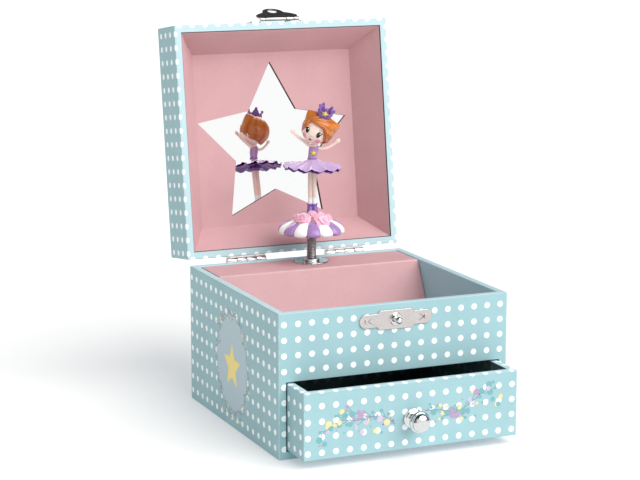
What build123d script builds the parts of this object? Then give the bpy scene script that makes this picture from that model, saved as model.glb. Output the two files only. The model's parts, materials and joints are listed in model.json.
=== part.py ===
"""Ballerina jewellery box: paper-covered box, hinged mirror lid, drawer, clockwork and dancer.

Frame: millimetres, origin at the middle of the underside, +X right, +Y back, +Z up.
Rest pose: lid open, drawer a little way out, dancer upright, hasp swung back.
"""
import os
from math import atan2, cos, pi, radians, sin

from build123d import *

os.makedirs("parts", exist_ok=True)

# ---------------------------------------------------------------- driving dimensions
WIDTH = 150.0
DEPTH = 151.0
BODY_H = 88.0
WALL = 4.8              # board with its paper covering
PARTING_GAP = 0.3       # between the body rim and the closed lid
LID_H = 33.2
LID_ANGLE = 98.0        # lid opened from closed
LID_TOP_T = 4.0
HINGE_OFFSET = 3.0      # hinge pin behind the back face
SILL_H = 4.6            # rail under the drawer
BOTTOM_T = 5.2          # board that the drawer runs on
DRAWER_H = 40.4         # drawer front
DRAWER_OUT = 24.3       # drawer pulled out at rest
DRAWER_GAP = 0.8
DIVIDER_T = 3.0
LINING_T = 1.0
COVER_T = 1.2
COVER_TOP_Z = 87.5
COVER_FOLD_Y = 37.6     # where the cover bends from its flat top into its slope
COVER_SLOPE = 62.3      # degrees from horizontal
SPINDLE_X = 3.3
SPINDLE_Y = 59.4
SPINDLE_R = 1.2
SPRING_R = 3.15
SPRING_WIRE = 0.8
FIGURE_TURN = -23.35    # dancer's facing about the spindle, degrees
DOME_BASE = 15.6        # heights of the dancer are above the body rim
DOME_R = 21.5
TUTU_R = 18.8
HEAD_TILT = 22.0

# ---------------------------------------------------------------- derived sizes
HALF_W = WIDTH / 2
HALF_D = DEPTH / 2
IN_W = HALF_W - WALL
IN_D = HALF_D - WALL
HINGE_Y = HALF_D + HINGE_OFFSET
HINGE_Z = BODY_H + PARTING_GAP / 2
LID_RIM = PARTING_GAP / 2               # heights in the lid frame start at the hinge pin
LID_CENTRE_Y = -HINGE_Y
OPENING_TOP = SILL_H + DRAWER_H + 2 * DRAWER_GAP
DIVIDER_Z = OPENING_TOP
LINING_Z = DIVIDER_Z + DIVIDER_T
FLOOR_Z = LINING_Z + LINING_T

# the lid's own frame: on the hinge pin, turned with the open lid
lid_turn = radians(LID_ANGLE)
LID = Plane(origin=(0, HINGE_Y, HINGE_Z), x_dir=(1, 0, 0), z_dir=(0, sin(lid_turn), cos(lid_turn)))


def lid_plane(x, y, z, turn_x=0.0, turn_z=0.0):
    """A plane at a point of the lid frame, turned about the lid's X, then its own Z."""
    return Plane(LID.location * Location((x, y, z), (turn_x, 0, 0)) * Location((0, 0, 0), (0, 0, turn_z)))


def mitred(side, centre_y, half_w=HALF_W, half_d=HALF_D):
    """Plan outline of one wall of a box, mitred at both corners."""
    in_w = half_w - WALL
    in_d = half_d - WALL
    corners = {
        "front": [(-half_w, -half_d), (half_w, -half_d), (in_w, -in_d), (-in_w, -in_d)],
        "back": [(-half_w, half_d), (-in_w, in_d), (in_w, in_d), (half_w, half_d)],
        "left": [(-half_w, -half_d), (-in_w, -in_d), (-in_w, in_d), (-half_w, half_d)],
        "right": [(half_w, -half_d), (half_w, half_d), (in_w, in_d), (in_w, -in_d)],
    }
    return [(x, y + centre_y) for x, y in corners[side]]


def star_points(outer, inner, turn=90.0, points=5):
    """Corners of a star, first point at the angle turn."""
    step = 180.0 / points
    radii = [outer, inner] * points
    return [(r * cos(radians(turn + k * step)), r * sin(radians(turn + k * step)))
            for k, r in enumerate(radii)]


def cap_middle(edge_r, edge_h, top_h):
    """Middle point of the arc from (edge_r, edge_h) to the axis at top_h, centred on the axis."""
    drop = top_h - edge_h
    ball_r = (edge_r ** 2 + drop ** 2) / (2 * drop)
    half_turn = atan2(edge_r, ball_r - drop) / 2 if drop > 0 else atan2(edge_r, drop - ball_r) / 2
    return (abs(ball_r) * sin(half_turn), top_h - ball_r * (1 - cos(half_turn)))


# ---------------------------------------------------------------- fasteners and fittings
NAIL_HEAD_R = 1.3
NAIL_HEAD_H = 0.7
NAIL_R = 0.6
NAIL_L = 4.0
LEAF_T = 0.6
LEAF_L = 27.3
LEAF_H = 11.0
LEAF_TOP = 2.2          # knuckle web height
KNUCKLE_R = 2.2
PIN_R = 1.0
PIN_GAP = 0.05
KNUCKLES = 4
KNUCKLE_GAP = 0.2
HINGE_X = 35.0
LEAF_NAIL_X = 9.5       # nails either side of a leaf's middle
LEAF_NAIL_Z = 7.0       # nails below or above the pin

LATCH_X = 0.0
CATCH_Z = 78.4
CATCH_H = 11.8
CATCH_T = 0.8
CATCH_NAIL_X = 19.4
HASP_AXIS_Z = 4.2       # above the hinge pin's height, in the lid frame
HASP_AXIS_OUT = 2.2     # in front of the lid's front face
HASP_W = 28.5
HASP_T = 0.8
HASP_SWING = 157.0      # from latched to swung back
HASP_HOLE_R = 3.1
HASP_PLATE_W = 42.6
HASP_PLATE_H = 11.0
HASP_NAIL_X = 17.5
HASP_PLATE_T = 0.6
HASP_KNUCKLE_R = 1.3
HASP_PIN_R = 0.7
STUD_R = 1.6
STUD_BALL_R = 2.3
hasp_reach = HINGE_Z + HASP_AXIS_Z - CATCH_Z

SCREW_R = 1.9
KNOB_Z = 23.8
KNOB_R = 6.6
KNOB_L = 15.0

# ---------------------------------------------------------------- clockwork sizes
BED_T = 1.7
CYL_Z = 66.0
CYL_R = 6.2
CYL_PIN_H = 0.6
CYL_LEFT = -6.0
CROWN_MODULE = 0.7      # cylinder crown wheel and spindle pinion
CROWN_TEETH = 24
SPINDLE_TEETH = 10
DRUM_MODULE = 0.6       # spring barrel crown teeth and cylinder pinion
DRUM_TEETH = 40
PINION_TEETH = 8
ARBOR_R = 1.5
TOOTH_SHARE = 0.34      # tooth thickness as a share of the pitch
crown_r = CROWN_MODULE * CROWN_TEETH / 2
spindle_pitch_r = CROWN_MODULE * SPINDLE_TEETH / 2
drum_r = DRUM_MODULE * DRUM_TEETH / 2
pinion_pitch_r = DRUM_MODULE * PINION_TEETH / 2
PINION_X = -8.5
DRUM_X = PINION_X - drum_r
DRUM_BACK = SPINDLE_Y - pinion_pitch_r - 0.7
DRUM_FRONT = DRUM_BACK - 12.0
CROWN_FACE = SPINDLE_X + spindle_pitch_r + 0.8
CROWN_T = 1.4
CHEEK_X = 12.0
CHEEK_T = 1.4
GOVERNOR_Y = SPINDLE_Y - crown_r - 0.8 - 0.4 - 1.5
GOVERNOR_X = CROWN_FACE + CROWN_T / 2
SPINDLE_LUG_Z = 77.0
STOP_X = 6.2
STOP_Y = 67.1
STOP_R = 0.6
BED_FRONT = IN_D - BED_T
MOUNT_SCREWS = [(-31.0, 78.5), (-31.0, 55.0), (10.0, 55.0)]
COMB_SCREW_X = 3.6
COMB_Y = SPINDLE_Y - 0.8
COMB_T = 1.6
COMB_PAD_H = 3.2
KEY_GAP = 1.5           # between the back wall and the key

# ---------------------------------------------------------------- body of the box
catch_nails = [(LATCH_X + s * CATCH_NAIL_X, CATCH_Z) for s in (-1, 1)]
leaf_nails = [(h * HINGE_X + s * LEAF_NAIL_X, HINGE_Z - LEAF_NAIL_Z) for h in (-1, 1) for s in (-1, 1)]
FRONT_FACE = Plane(origin=(0, -HALF_D, 0), x_dir=(1, 0, 0), z_dir=(0, -1, 0))
BACK_FACE = Plane(origin=(0, HALF_D, 0), x_dir=(-1, 0, 0), z_dir=(0, 1, 0))
CATCH_SCREW_R = 1.0

with BuildPart() as front_panel:
    with BuildSketch(Plane.XY):
        Polygon(*mitred("front", 0), align=None)
    extrude(amount=BODY_H)
    with BuildSketch(FRONT_FACE):
        with Locations((0, (SILL_H + OPENING_TOP) / 2)):
            Rectangle(2 * IN_W, OPENING_TOP - SILL_H)
    extrude(amount=-WALL, mode=Mode.SUBTRACT)
    with BuildSketch(FRONT_FACE):
        with Locations(*catch_nails):
            Circle(NAIL_R)
    extrude(amount=-(NAIL_L - CATCH_T), mode=Mode.SUBTRACT)
    with BuildSketch(FRONT_FACE):
        with Locations((LATCH_X, CATCH_Z)):
            Circle(CATCH_SCREW_R)
    extrude(amount=-3.5, mode=Mode.SUBTRACT)
front_panel.part.label = "front_panel"
export_step(front_panel.part, "parts/front_panel.step")

with BuildPart() as left_wall:
    with BuildSketch(Plane.XY):
        Polygon(*mitred("left", 0), align=None)
    extrude(amount=BODY_H)
left_wall.part.label = "left_wall"
export_step(left_wall.part, "parts/left_wall.step")

with BuildPart() as right_wall:
    with BuildSketch(Plane.XY):
        Polygon(*mitred("right", 0), align=None)
    extrude(amount=BODY_H)
right_wall.part.label = "right_wall"
export_step(right_wall.part, "parts/right_wall.step")

with BuildPart() as back_wall:
    with BuildSketch(Plane.XY):
        Polygon(*mitred("back", 0), align=None)
    extrude(amount=BODY_H)
    with BuildSketch(BACK_FACE):
        with Locations(*[(-x, z) for x, z in leaf_nails]):
            Circle(NAIL_R)
    extrude(amount=-(NAIL_L - LEAF_T), mode=Mode.SUBTRACT)
    with BuildSketch(BACK_FACE):
        with Locations((-DRUM_X, CYL_Z)):
            Circle(ARBOR_R + 1.0)
    extrude(amount=-WALL, mode=Mode.SUBTRACT)
    with BuildSketch(BACK_FACE.offset(-WALL)):
        with Locations(*[(-x, z) for x, z in MOUNT_SCREWS]):
            Circle(0.8)
    extrude(amount=3.5, mode=Mode.SUBTRACT)
back_wall.part.label = "back_wall"
export_step(back_wall.part, "parts/back_wall.step")

with BuildPart() as bottom_board:
    with BuildSketch(Plane.XY):
        Rectangle(2 * IN_W, 2 * IN_D)
    extrude(amount=BOTTOM_T)
bottom_board.part.label = "bottom_board"
export_step(bottom_board.part, "parts/bottom_board.step")

with BuildPart() as divider_board:
    with BuildSketch(Plane.XY.offset(DIVIDER_Z)):
        Rectangle(2 * IN_W, 2 * IN_D)
    extrude(amount=DIVIDER_T)
divider_board.part.label = "divider_board"
export_step(divider_board.part, "parts/divider_board.step")

cover_run = (COVER_TOP_Z - FLOOR_Z) / (sin(radians(COVER_SLOPE)) / cos(radians(COVER_SLOPE)))
cover_foot_y = COVER_FOLD_Y - cover_run

with BuildPart() as compartment_lining:
    with BuildSketch(Plane.XY.offset(LINING_Z)):
        with Locations((0, (cover_foot_y - IN_D) / 2)):
            Rectangle(2 * IN_W, cover_foot_y + IN_D)
    extrude(amount=LINING_T)
compartment_lining.part.label = "compartment_lining"
export_step(compartment_lining.part, "parts/compartment_lining.step")

# folded card over the clockwork: flat top, bend, slope down to the lining
COVER_LEFT = -IN_W + 1.4
COVER_RIGHT = IN_W - 0.3
slope = radians(COVER_SLOPE)
fold_in = COVER_T * (1 - cos(slope)) / sin(slope)
foot_in = COVER_T / sin(slope)
with BuildPart() as movement_cover:
    with BuildSketch(Plane(origin=(COVER_LEFT, 0, 0), x_dir=(0, 1, 0), z_dir=(1, 0, 0))):
        with BuildLine():
            Polyline(
                (IN_D, COVER_TOP_Z),
                (COVER_FOLD_Y, COVER_TOP_Z),
                (cover_foot_y, FLOOR_Z),
                (cover_foot_y + foot_in, FLOOR_Z),
                (COVER_FOLD_Y + fold_in, COVER_TOP_Z - COVER_T),
                (IN_D, COVER_TOP_Z - COVER_T),
                close=True,
            )
        make_face()
    extrude(amount=COVER_RIGHT - COVER_LEFT)
    fold_edge = movement_cover.edges().filter_by(Axis.X).group_by(Axis.Z)[-1].sort_by(Axis.Y)[0]
    fillet(fold_edge, 1.6)
    with Locations((SPINDLE_X, SPINDLE_Y, COVER_TOP_Z)):
        Hole(3.0, depth=2 * COVER_T)
    with Locations((STOP_X, STOP_Y, COVER_TOP_Z)):
        Hole(1.1, depth=2 * COVER_T)
movement_cover.part.label = "movement_cover"
export_step(movement_cover.part, "parts/movement_cover.step")

FLANGE_R = 11.2
FLANGE_T = 1.0
NUT_R = 5.6
NUT_H = 1.6
flange_top = COVER_TOP_Z + FLANGE_T
with BuildPart() as shaft_flange:
    with BuildSketch(Plane.XY.offset(COVER_TOP_Z)):
        with Locations((SPINDLE_X, SPINDLE_Y)):
            Circle(FLANGE_R)
            Circle(SPINDLE_R + 0.05, mode=Mode.SUBTRACT)
        with Locations((STOP_X, STOP_Y)):
            Circle(STOP_R + 0.1, mode=Mode.SUBTRACT)
    extrude(amount=FLANGE_T)
    chamfer(shaft_flange.faces().sort_by(Axis.Z)[-1].edges().sort_by(SortBy.RADIUS)[-1], 0.35)
    with BuildSketch(Plane.XY.offset(COVER_TOP_Z)):
        with Locations((SPINDLE_X, SPINDLE_Y)):
            Circle(2.9)
            Circle(SPINDLE_R + 0.05, mode=Mode.SUBTRACT)
    extrude(amount=-5.0)
shaft_flange.part.label = "shaft_flange"
export_step(shaft_flange.part, "parts/shaft_flange.step")

with BuildPart() as shaft_collar:
    with BuildSketch(Plane.XY.offset(flange_top)):
        with Locations((SPINDLE_X, SPINDLE_Y)):
            Circle(NUT_R)
            Circle(SPRING_R + 0.35, mode=Mode.SUBTRACT)
    extrude(amount=NUT_H)
    chamfer(shaft_collar.faces().sort_by(Axis.Z)[-1].edges(), 0.3)
shaft_collar.part.label = "shaft_collar"
export_step(shaft_collar.part, "parts/shaft_collar.step")

# ---------------------------------------------------------------- lid shell
lid_front_y = -(HINGE_OFFSET + DEPTH)
lid_back_y = -HINGE_OFFSET
LINER_RIM = 1.0         # the liner starts this far inside the rim
LINER_RIM_IN = 5.2      # liner face from the outer faces, at the rim
LINER_TOP_IN = 18.7     # and at the mirror card
LINER_DEPTH = 21.9
CARD_T = 1.5
MIRROR_T = 2.0
card_z = LID_RIM + LINER_DEPTH

LID_FRONT_FACE = lid_plane(0, lid_front_y, 0, turn_x=90)
LID_BACK_FACE = lid_plane(0, lid_back_y, 0, turn_x=-90, turn_z=180)
hasp_nails = [(LATCH_X + s * HASP_NAIL_X, HASP_AXIS_Z + 6.0) for s in (-1, 1)]
lid_leaf_nails = [(h * HINGE_X + s * LEAF_NAIL_X, LEAF_NAIL_Z) for h in (-1, 1) for s in (-1, 1)]

with BuildPart() as lid_top:
    with BuildSketch(LID.offset(LID_RIM + LID_H - LID_TOP_T)):
        with Locations((0, LID_CENTRE_Y)):
            Rectangle(WIDTH, DEPTH)
    extrude(amount=LID_TOP_T)
lid_top.part.label = "lid_top"
export_step(lid_top.part, "parts/lid_top.step")

with BuildPart() as lid_front:
    with BuildSketch(LID.offset(LID_RIM)):
        Polygon(*mitred("front", LID_CENTRE_Y), align=None)
    extrude(amount=LID_H - LID_TOP_T)
    with BuildSketch(LID_FRONT_FACE):
        with Locations(*hasp_nails):
            Circle(NAIL_R)
    extrude(amount=-(NAIL_L - HASP_PLATE_T), mode=Mode.SUBTRACT)
lid_front.part.label = "lid_front"
export_step(lid_front.part, "parts/lid_front.step")

with BuildPart() as lid_back:
    with BuildSketch(LID.offset(LID_RIM)):
        Polygon(*mitred("back", LID_CENTRE_Y), align=None)
    extrude(amount=LID_H - LID_TOP_T)
    with BuildSketch(LID_BACK_FACE):
        with Locations(*[(-x, z) for x, z in lid_leaf_nails]):
            Circle(NAIL_R)
    extrude(amount=-(NAIL_L - LEAF_T), mode=Mode.SUBTRACT)
lid_back.part.label = "lid_back"
export_step(lid_back.part, "parts/lid_back.step")

with BuildPart() as lid_left:
    with BuildSketch(LID.offset(LID_RIM)):
        Polygon(*mitred("left", LID_CENTRE_Y), align=None)
    extrude(amount=LID_H - LID_TOP_T)
lid_left.part.label = "lid_left"
export_step(lid_left.part, "parts/lid_left.step")

with BuildPart() as lid_right:
    with BuildSketch(LID.offset(LID_RIM)):
        Polygon(*mitred("right", LID_CENTRE_Y), align=None)
    extrude(amount=LID_H - LID_TOP_T)
lid_right.part.label = "lid_right"
export_step(lid_right.part, "parts/lid_right.step")


def liner_outline(side, inset):
    """Section of one liner board at one height: the middle part of that side of a square ring."""
    low = -HALF_D + LID_CENTRE_Y + inset
    high = HALF_D + LID_CENTRE_Y - inset
    wide = HALF_W - inset
    ends = {"front": (-wide, low, wide, low), "back": (wide, high, -wide, high),
            "left": (-wide, high, -wide, low), "right": (wide, low, wide, high)}
    return ends[side]


def liner_board(side):
    """One sloping liner board of the lid, from the rim to the mirror card."""
    rows = [(LINER_RIM, LINER_RIM_IN, LINER_RIM_IN - 0.35), (LINER_DEPTH, LINER_TOP_IN, LINER_TOP_IN - 1.1)]
    with BuildPart() as board:
        for height, inner, outer in rows:
            ax, ay, bx, by = liner_outline(side, inner)
            cx, cy, dx, dy = liner_outline(side, outer)
            with BuildSketch(LID.offset(LID_RIM + height)):
                Polygon((ax, ay), (bx, by), (dx, dy), (cx, cy), align=None)
        loft(ruled=True)
    return board


for side in ("front", "back", "left", "right"):
    liner = liner_board(side)
    liner.part.label = f"lid_liner_{side}"
    export_step(liner.part, f"parts/lid_liner_{side}.step")

STAR_R = 55.9
STAR_INNER_R = 29.2
STAR_X = -1.9
STAR_FROM_BACK = 70.2   # star centre from the lid's back face
MIRROR_W = 124.0
star_y = lid_back_y - STAR_FROM_BACK
with BuildPart() as mirror_card:
    with BuildSketch(LID.offset(card_z)):
        with Locations((0, LID_CENTRE_Y)):
            Rectangle(2 * IN_W, 2 * IN_D)
        with Locations((STAR_X, star_y)):
            Polygon(*star_points(STAR_R, STAR_INNER_R, -90.0), align=None, mode=Mode.SUBTRACT)
    extrude(amount=CARD_T)
mirror_card.part.label = "mirror_card"
export_step(mirror_card.part, "parts/mirror_card.step")

with BuildPart() as star_mirror:
    with BuildSketch(LID.offset(card_z + CARD_T)):
        with Locations((0, star_y)):
            Rectangle(MIRROR_W, MIRROR_W)
    extrude(amount=MIRROR_T)
star_mirror.part.label = "star_mirror"
export_step(star_mirror.part, "parts/star_mirror.step")


# ---------------------------------------------------------------- hinges
def hinge_leaf(frame, hinge_x, face_y, side, first):
    """A leaf with every second knuckle. frame has its origin on the pin; side is -1 below, 1 above."""
    pitch = LEAF_L / KNUCKLES
    with BuildPart() as leaf:
        for number in range(first, KNUCKLES, 2):
            start = hinge_x - LEAF_L / 2 + number * pitch + KNUCKLE_GAP / 2
            along_pin = Location((start, 0, 0), (0, 90, 0)) * Location((0, 0, 0), (0, 0, 90))
            section = Plane(frame.location * along_pin)
            with BuildSketch(section):
                Circle(KNUCKLE_R)
                web = Rectangle(1.5, LEAF_TOP - LID_RIM, align=(Align.MIN, Align.MIN), mode=Mode.PRIVATE)
                web_y = LID_RIM if side > 0 else -LEAF_TOP
                add(Location((face_y, web_y)) * web)
                Circle(PIN_R + PIN_GAP, mode=Mode.SUBTRACT)
            extrude(amount=pitch - KNUCKLE_GAP)
        plate_z = LID_RIM if side > 0 else -LEAF_H
        corner = frame.location * Location((hinge_x - LEAF_L / 2, face_y, plate_z))
        with Locations(corner):
            Box(LEAF_L, LEAF_T, LEAF_H - LID_RIM, align=(Align.MIN, Align.MIN, Align.MIN))
        for nail_side in (-1, 1):
            spot = Location((hinge_x + nail_side * LEAF_NAIL_X, face_y, side * LEAF_NAIL_Z), (90, 0, 0))
            with Locations(frame.location * spot):
                Cylinder(NAIL_R, 3 * LEAF_T, mode=Mode.SUBTRACT)
    return leaf


HINGE_AXIS = Plane(origin=(0, HINGE_Y, HINGE_Z))
hinge_sides = (("left", -HINGE_X), ("right", HINGE_X))
for side, x in hinge_sides:
    body_leaf = hinge_leaf(HINGE_AXIS, x, lid_back_y, -1, 0)
    body_leaf.part.label = f"hinge_body_leaf_{side}"
    export_step(body_leaf.part, f"parts/hinge_body_leaf_{side}.step")
    lid_leaf = hinge_leaf(LID, x, lid_back_y, 1, 1)
    lid_leaf.part.label = f"hinge_lid_leaf_{side}"
    export_step(lid_leaf.part, f"parts/hinge_lid_leaf_{side}.step")

with BuildPart() as hinge_pins:
    for side, x in hinge_sides:
        with BuildSketch(Plane(origin=(x - LEAF_L / 2, HINGE_Y, HINGE_Z), z_dir=(1, 0, 0))):
            Circle(PIN_R)
        extrude(amount=LEAF_L)
hinge_pins.part.label = "hinge_pins"
export_step(hinge_pins.part, "parts/hinge_pins.step")


def nails(rows):
    """Round-headed nails driven square into faces; each row is a face, spots and a plate's thickness."""
    with BuildPart() as nail_set:
        for face, spots, lift in rows:
            with BuildSketch(face.offset(lift)):
                with Locations(*spots):
                    Circle(NAIL_HEAD_R)
            extrude(amount=NAIL_HEAD_H, taper=25)
            with BuildSketch(face.offset(lift)):
                with Locations(*spots):
                    Circle(NAIL_R)
            extrude(amount=-NAIL_L)
    return nail_set


back_spots = [(-x, z) for x, z in leaf_nails]
lid_back_spots = [(-x, z) for x, z in lid_leaf_nails]
body_nails = nails([(FRONT_FACE, catch_nails, CATCH_T), (BACK_FACE, back_spots, LEAF_T)])
body_nails.part.label = "body_nails"
export_step(body_nails.part, "parts/body_nails.step")

lid_nails = nails([(LID_FRONT_FACE, hasp_nails, HASP_PLATE_T), (LID_BACK_FACE, lid_back_spots, LEAF_T)])
lid_nails.part.label = "lid_nails"
export_step(lid_nails.part, "parts/lid_nails.step")

# ---------------------------------------------------------------- latch
CATCH_CENTRE_W = 24.8
CATCH_NECK = 4.1
CATCH_LOBE_R = 4.35
with BuildPart() as catch_plate:
    with BuildSketch(FRONT_FACE):
        with Locations((LATCH_X, CATCH_Z)):
            plate = Rectangle(CATCH_CENTRE_W, CATCH_H)
        chamfer(plate.vertices(), 2.0)
        with Locations((LATCH_X, CATCH_Z)):
            Rectangle(2 * CATCH_NAIL_X, 2 * CATCH_NECK)
        with Locations(*catch_nails):
            Circle(CATCH_LOBE_R)
        with Locations(*catch_nails):
            Circle(NAIL_R, mode=Mode.SUBTRACT)
        with Locations((LATCH_X, CATCH_Z)):
            Circle(CATCH_SCREW_R, mode=Mode.SUBTRACT)
    extrude(amount=CATCH_T)
catch_plate.part.label = "catch_plate"
export_step(catch_plate.part, "parts/catch_plate.step")

stud_axis = Axis((LATCH_X, -HALF_D, CATCH_Z), (0, -1, 0))
ball_out = HASP_AXIS_OUT + HASP_T / 2 + 0.2 + STUD_BALL_R * 0.8
seat = HASP_AXIS_OUT - HASP_T / 2 - 0.25
with BuildPart() as catch_stud:
    with BuildSketch(Plane(origin=(LATCH_X, -HALF_D, CATCH_Z), x_dir=(1, 0, 0), z_dir=(0, 0, 1))):
        with BuildLine():
            Polyline((0, 3.3), (CATCH_SCREW_R, 3.3), (CATCH_SCREW_R, -CATCH_T), (4.0, -CATCH_T),
                     (4.0, -seat + 0.3), (3.7, -seat), (STUD_R, -seat), (STUD_R, -ball_out), (0, -ball_out),
                     close=True)
        make_face()
        with Locations((0, -ball_out)):
            Circle(STUD_BALL_R)
        with Locations((-10, 0)):
            Rectangle(20, 40, mode=Mode.SUBTRACT)
    revolve(axis=stud_axis)
catch_stud.part.label = "catch_stud"
export_step(catch_stud.part, "parts/catch_stud.step")

# hasp: a base plate on the lid front, and a tongue on a pin, drawn latched and then swung back
HASP_LOOPS = [(-13.5, 3.0), (4.5, 5.0)]        # base plate loops: start along X, and length
loops_x = [(LATCH_X + start, length) for start, length in HASP_LOOPS]
with BuildPart() as hasp_plate:
    with BuildSketch(LID_FRONT_FACE):
        with Locations((LATCH_X, HASP_AXIS_Z + 1.6 + HASP_PLATE_H / 2)):
            RectangleRounded(HASP_PLATE_W, HASP_PLATE_H, 3.0)
        with Locations(*hasp_nails):
            Circle(NAIL_R, mode=Mode.SUBTRACT)
    extrude(amount=HASP_PLATE_T)
    for start, length in loops_x:
        loop_start = lid_plane(start, lid_front_y, 0, turn_x=90)
        with BuildSketch(Plane(loop_start.location * Location((0, 0, 0), (0, 90, 0)))):
            with Locations((-HASP_AXIS_OUT, HASP_AXIS_Z)):
                Circle(HASP_KNUCKLE_R)
            with Locations((-HASP_AXIS_OUT / 2, HASP_AXIS_Z + 1.1)):
                Rectangle(HASP_AXIS_OUT, 2.2)
            with Locations((-HASP_AXIS_OUT, HASP_AXIS_Z)):
                Circle(HASP_PIN_R + PIN_GAP, mode=Mode.SUBTRACT)
        extrude(amount=length)
hasp_plate.part.label = "hasp_plate"
export_step(hasp_plate.part, "parts/hasp_plate.step")

hasp_axis = (LATCH_X, lid_front_y - HASP_AXIS_OUT, HASP_AXIS_Z)
HASP = Plane(LID.location * Location(hasp_axis, (-HASP_SWING, 0, 0)))
HASP_EYES = [(-10.2, 14.4), (9.8, 3.6)]        # tongue eyes between the loops: start along X, and length
TONGUE_END = hasp_reach + 5.2
with BuildPart() as hasp_tongue:
    tongue_face = Plane(HASP.location * Location((0, 0, 0), (90, 0, 0)))
    with BuildSketch(tongue_face.offset(-HASP_T / 2)):
        with BuildLine():
            side_low = (HASP_W / 2, -7.0)
            Line((-11.0, -1.7), (11.0, -1.7))
            ThreePointArc((11.0, -1.7), (HASP_W / 2 - 0.6, -3.4), side_low)
            ThreePointArc(side_low, (HASP_W / 2 - 3.6, -10.2), (7.2, -12.2))
            ThreePointArc((7.2, -12.2), (5.6, -16.6), (0, -TONGUE_END))
            ThreePointArc((0, -TONGUE_END), (-5.6, -16.6), (-7.2, -12.2))
            ThreePointArc((-7.2, -12.2), (-HASP_W / 2 + 3.6, -10.2), (-side_low[0], side_low[1]))
            ThreePointArc((-side_low[0], side_low[1]), (-HASP_W / 2 + 0.6, -3.4), (-11.0, -1.7))
        make_face()
        with Locations((0, -hasp_reach)):
            Circle(HASP_HOLE_R, mode=Mode.SUBTRACT)
    extrude(amount=HASP_T)
    for start, length in HASP_EYES:
        with BuildSketch(Plane(HASP.location * Location((start, 0, 0), (0, 90, 0)))):
            Circle(HASP_KNUCKLE_R)
            with Locations((1.2, 0)):
                Rectangle(2.4, HASP_T)
            Circle(HASP_PIN_R + PIN_GAP, mode=Mode.SUBTRACT)
        extrude(amount=length)
hasp_tongue.part.label = "hasp_tongue"
export_step(hasp_tongue.part, "parts/hasp_tongue.step")

with BuildPart() as hasp_pin:
    with BuildSketch(Plane(HASP.location * Location((-13.5, 0, 0), (0, 90, 0)))):
        Circle(HASP_PIN_R)
    extrude(amount=27.0)
hasp_pin.part.label = "hasp_pin"
export_step(hasp_pin.part, "parts/hasp_pin.step")

# ---------------------------------------------------------------- drawer
DRAWER_L = 138.0
DRAWER_BOARD_T = 2.6
drawer_half_w = IN_W - DRAWER_GAP
drawer_front_y = -HALF_D - DRAWER_OUT
drawer_centre_y = drawer_front_y + DRAWER_L / 2
drawer_z = SILL_H + DRAWER_GAP
knob_face = Plane(origin=(0, drawer_front_y, KNOB_Z), x_dir=(1, 0, 0), z_dir=(0, -1, 0))

for side in ("front", "left", "right", "back"):
    with BuildPart() as drawer_wall:
        with BuildSketch(Plane.XY.offset(drawer_z)):
            Polygon(*mitred(side, drawer_centre_y, drawer_half_w, DRAWER_L / 2), align=None)
        extrude(amount=DRAWER_H)
        if side == "front":
            with BuildSketch(knob_face):
                Circle(SCREW_R + 0.2)
            extrude(amount=-WALL, mode=Mode.SUBTRACT)
    drawer_wall.part.label = f"drawer_{side}"
    export_step(drawer_wall.part, f"parts/drawer_{side}.step")

with BuildPart() as drawer_bottom:
    with BuildSketch(Plane.XY.offset(drawer_z)):
        with Locations((0, drawer_centre_y)):
            Rectangle(2 * (drawer_half_w - WALL), DRAWER_L - 2 * WALL)
    extrude(amount=DRAWER_BOARD_T)
drawer_bottom.part.label = "drawer_bottom"
export_step(drawer_bottom.part, "parts/drawer_bottom.step")

KNOB_FLANGE_R = 6.2
KNOB_NECK_R = 3.0
SCREW_IN = 6.0
with BuildPart() as drawer_knob:
    with BuildSketch(Plane(origin=(0, drawer_front_y, KNOB_Z), x_dir=(1, 0, 0), z_dir=(0, 0, 1))):
        with BuildLine():
            Polyline((SCREW_R, 0), (KNOB_FLANGE_R, 0), (KNOB_FLANGE_R, -0.9))
            ThreePointArc((KNOB_FLANGE_R, -0.9), (4.3, -1.9), (KNOB_NECK_R, -4.2))
            ThreePointArc((KNOB_NECK_R, -4.2), (3.4, -6.2), (5.0, -7.6))
            ThreePointArc((5.0, -7.6), (KNOB_R, -10.4), (4.7, -13.8))
            ThreePointArc((4.7, -13.8), cap_middle(4.7, -13.8, -KNOB_L), (0, -KNOB_L))
            Polyline((0, -KNOB_L), (0, -SCREW_IN), (SCREW_R, -SCREW_IN), (SCREW_R, 0))
        make_face()
    revolve(axis=Axis((0, drawer_front_y, KNOB_Z), (0, -1, 0)))
drawer_knob.part.label = "drawer_knob"
export_step(drawer_knob.part, "parts/drawer_knob.step")

with BuildPart() as drawer_knob_screw:
    with BuildSketch(knob_face.offset(-WALL)):
        Circle(3.6)
    extrude(amount=-1.8, taper=18)
    with BuildSketch(knob_face.offset(-WALL)):
        Circle(SCREW_R)
    extrude(amount=WALL + SCREW_IN - 0.4)
    with BuildSketch(knob_face.offset(-WALL - 1.8)):
        Rectangle(4.0, 0.7)
        Rectangle(0.7, 4.0)
    extrude(amount=0.9, mode=Mode.SUBTRACT)
drawer_knob_screw.part.label = "drawer_knob_screw"
export_step(drawer_knob_screw.part, "parts/drawer_knob_screw.step")

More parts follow.
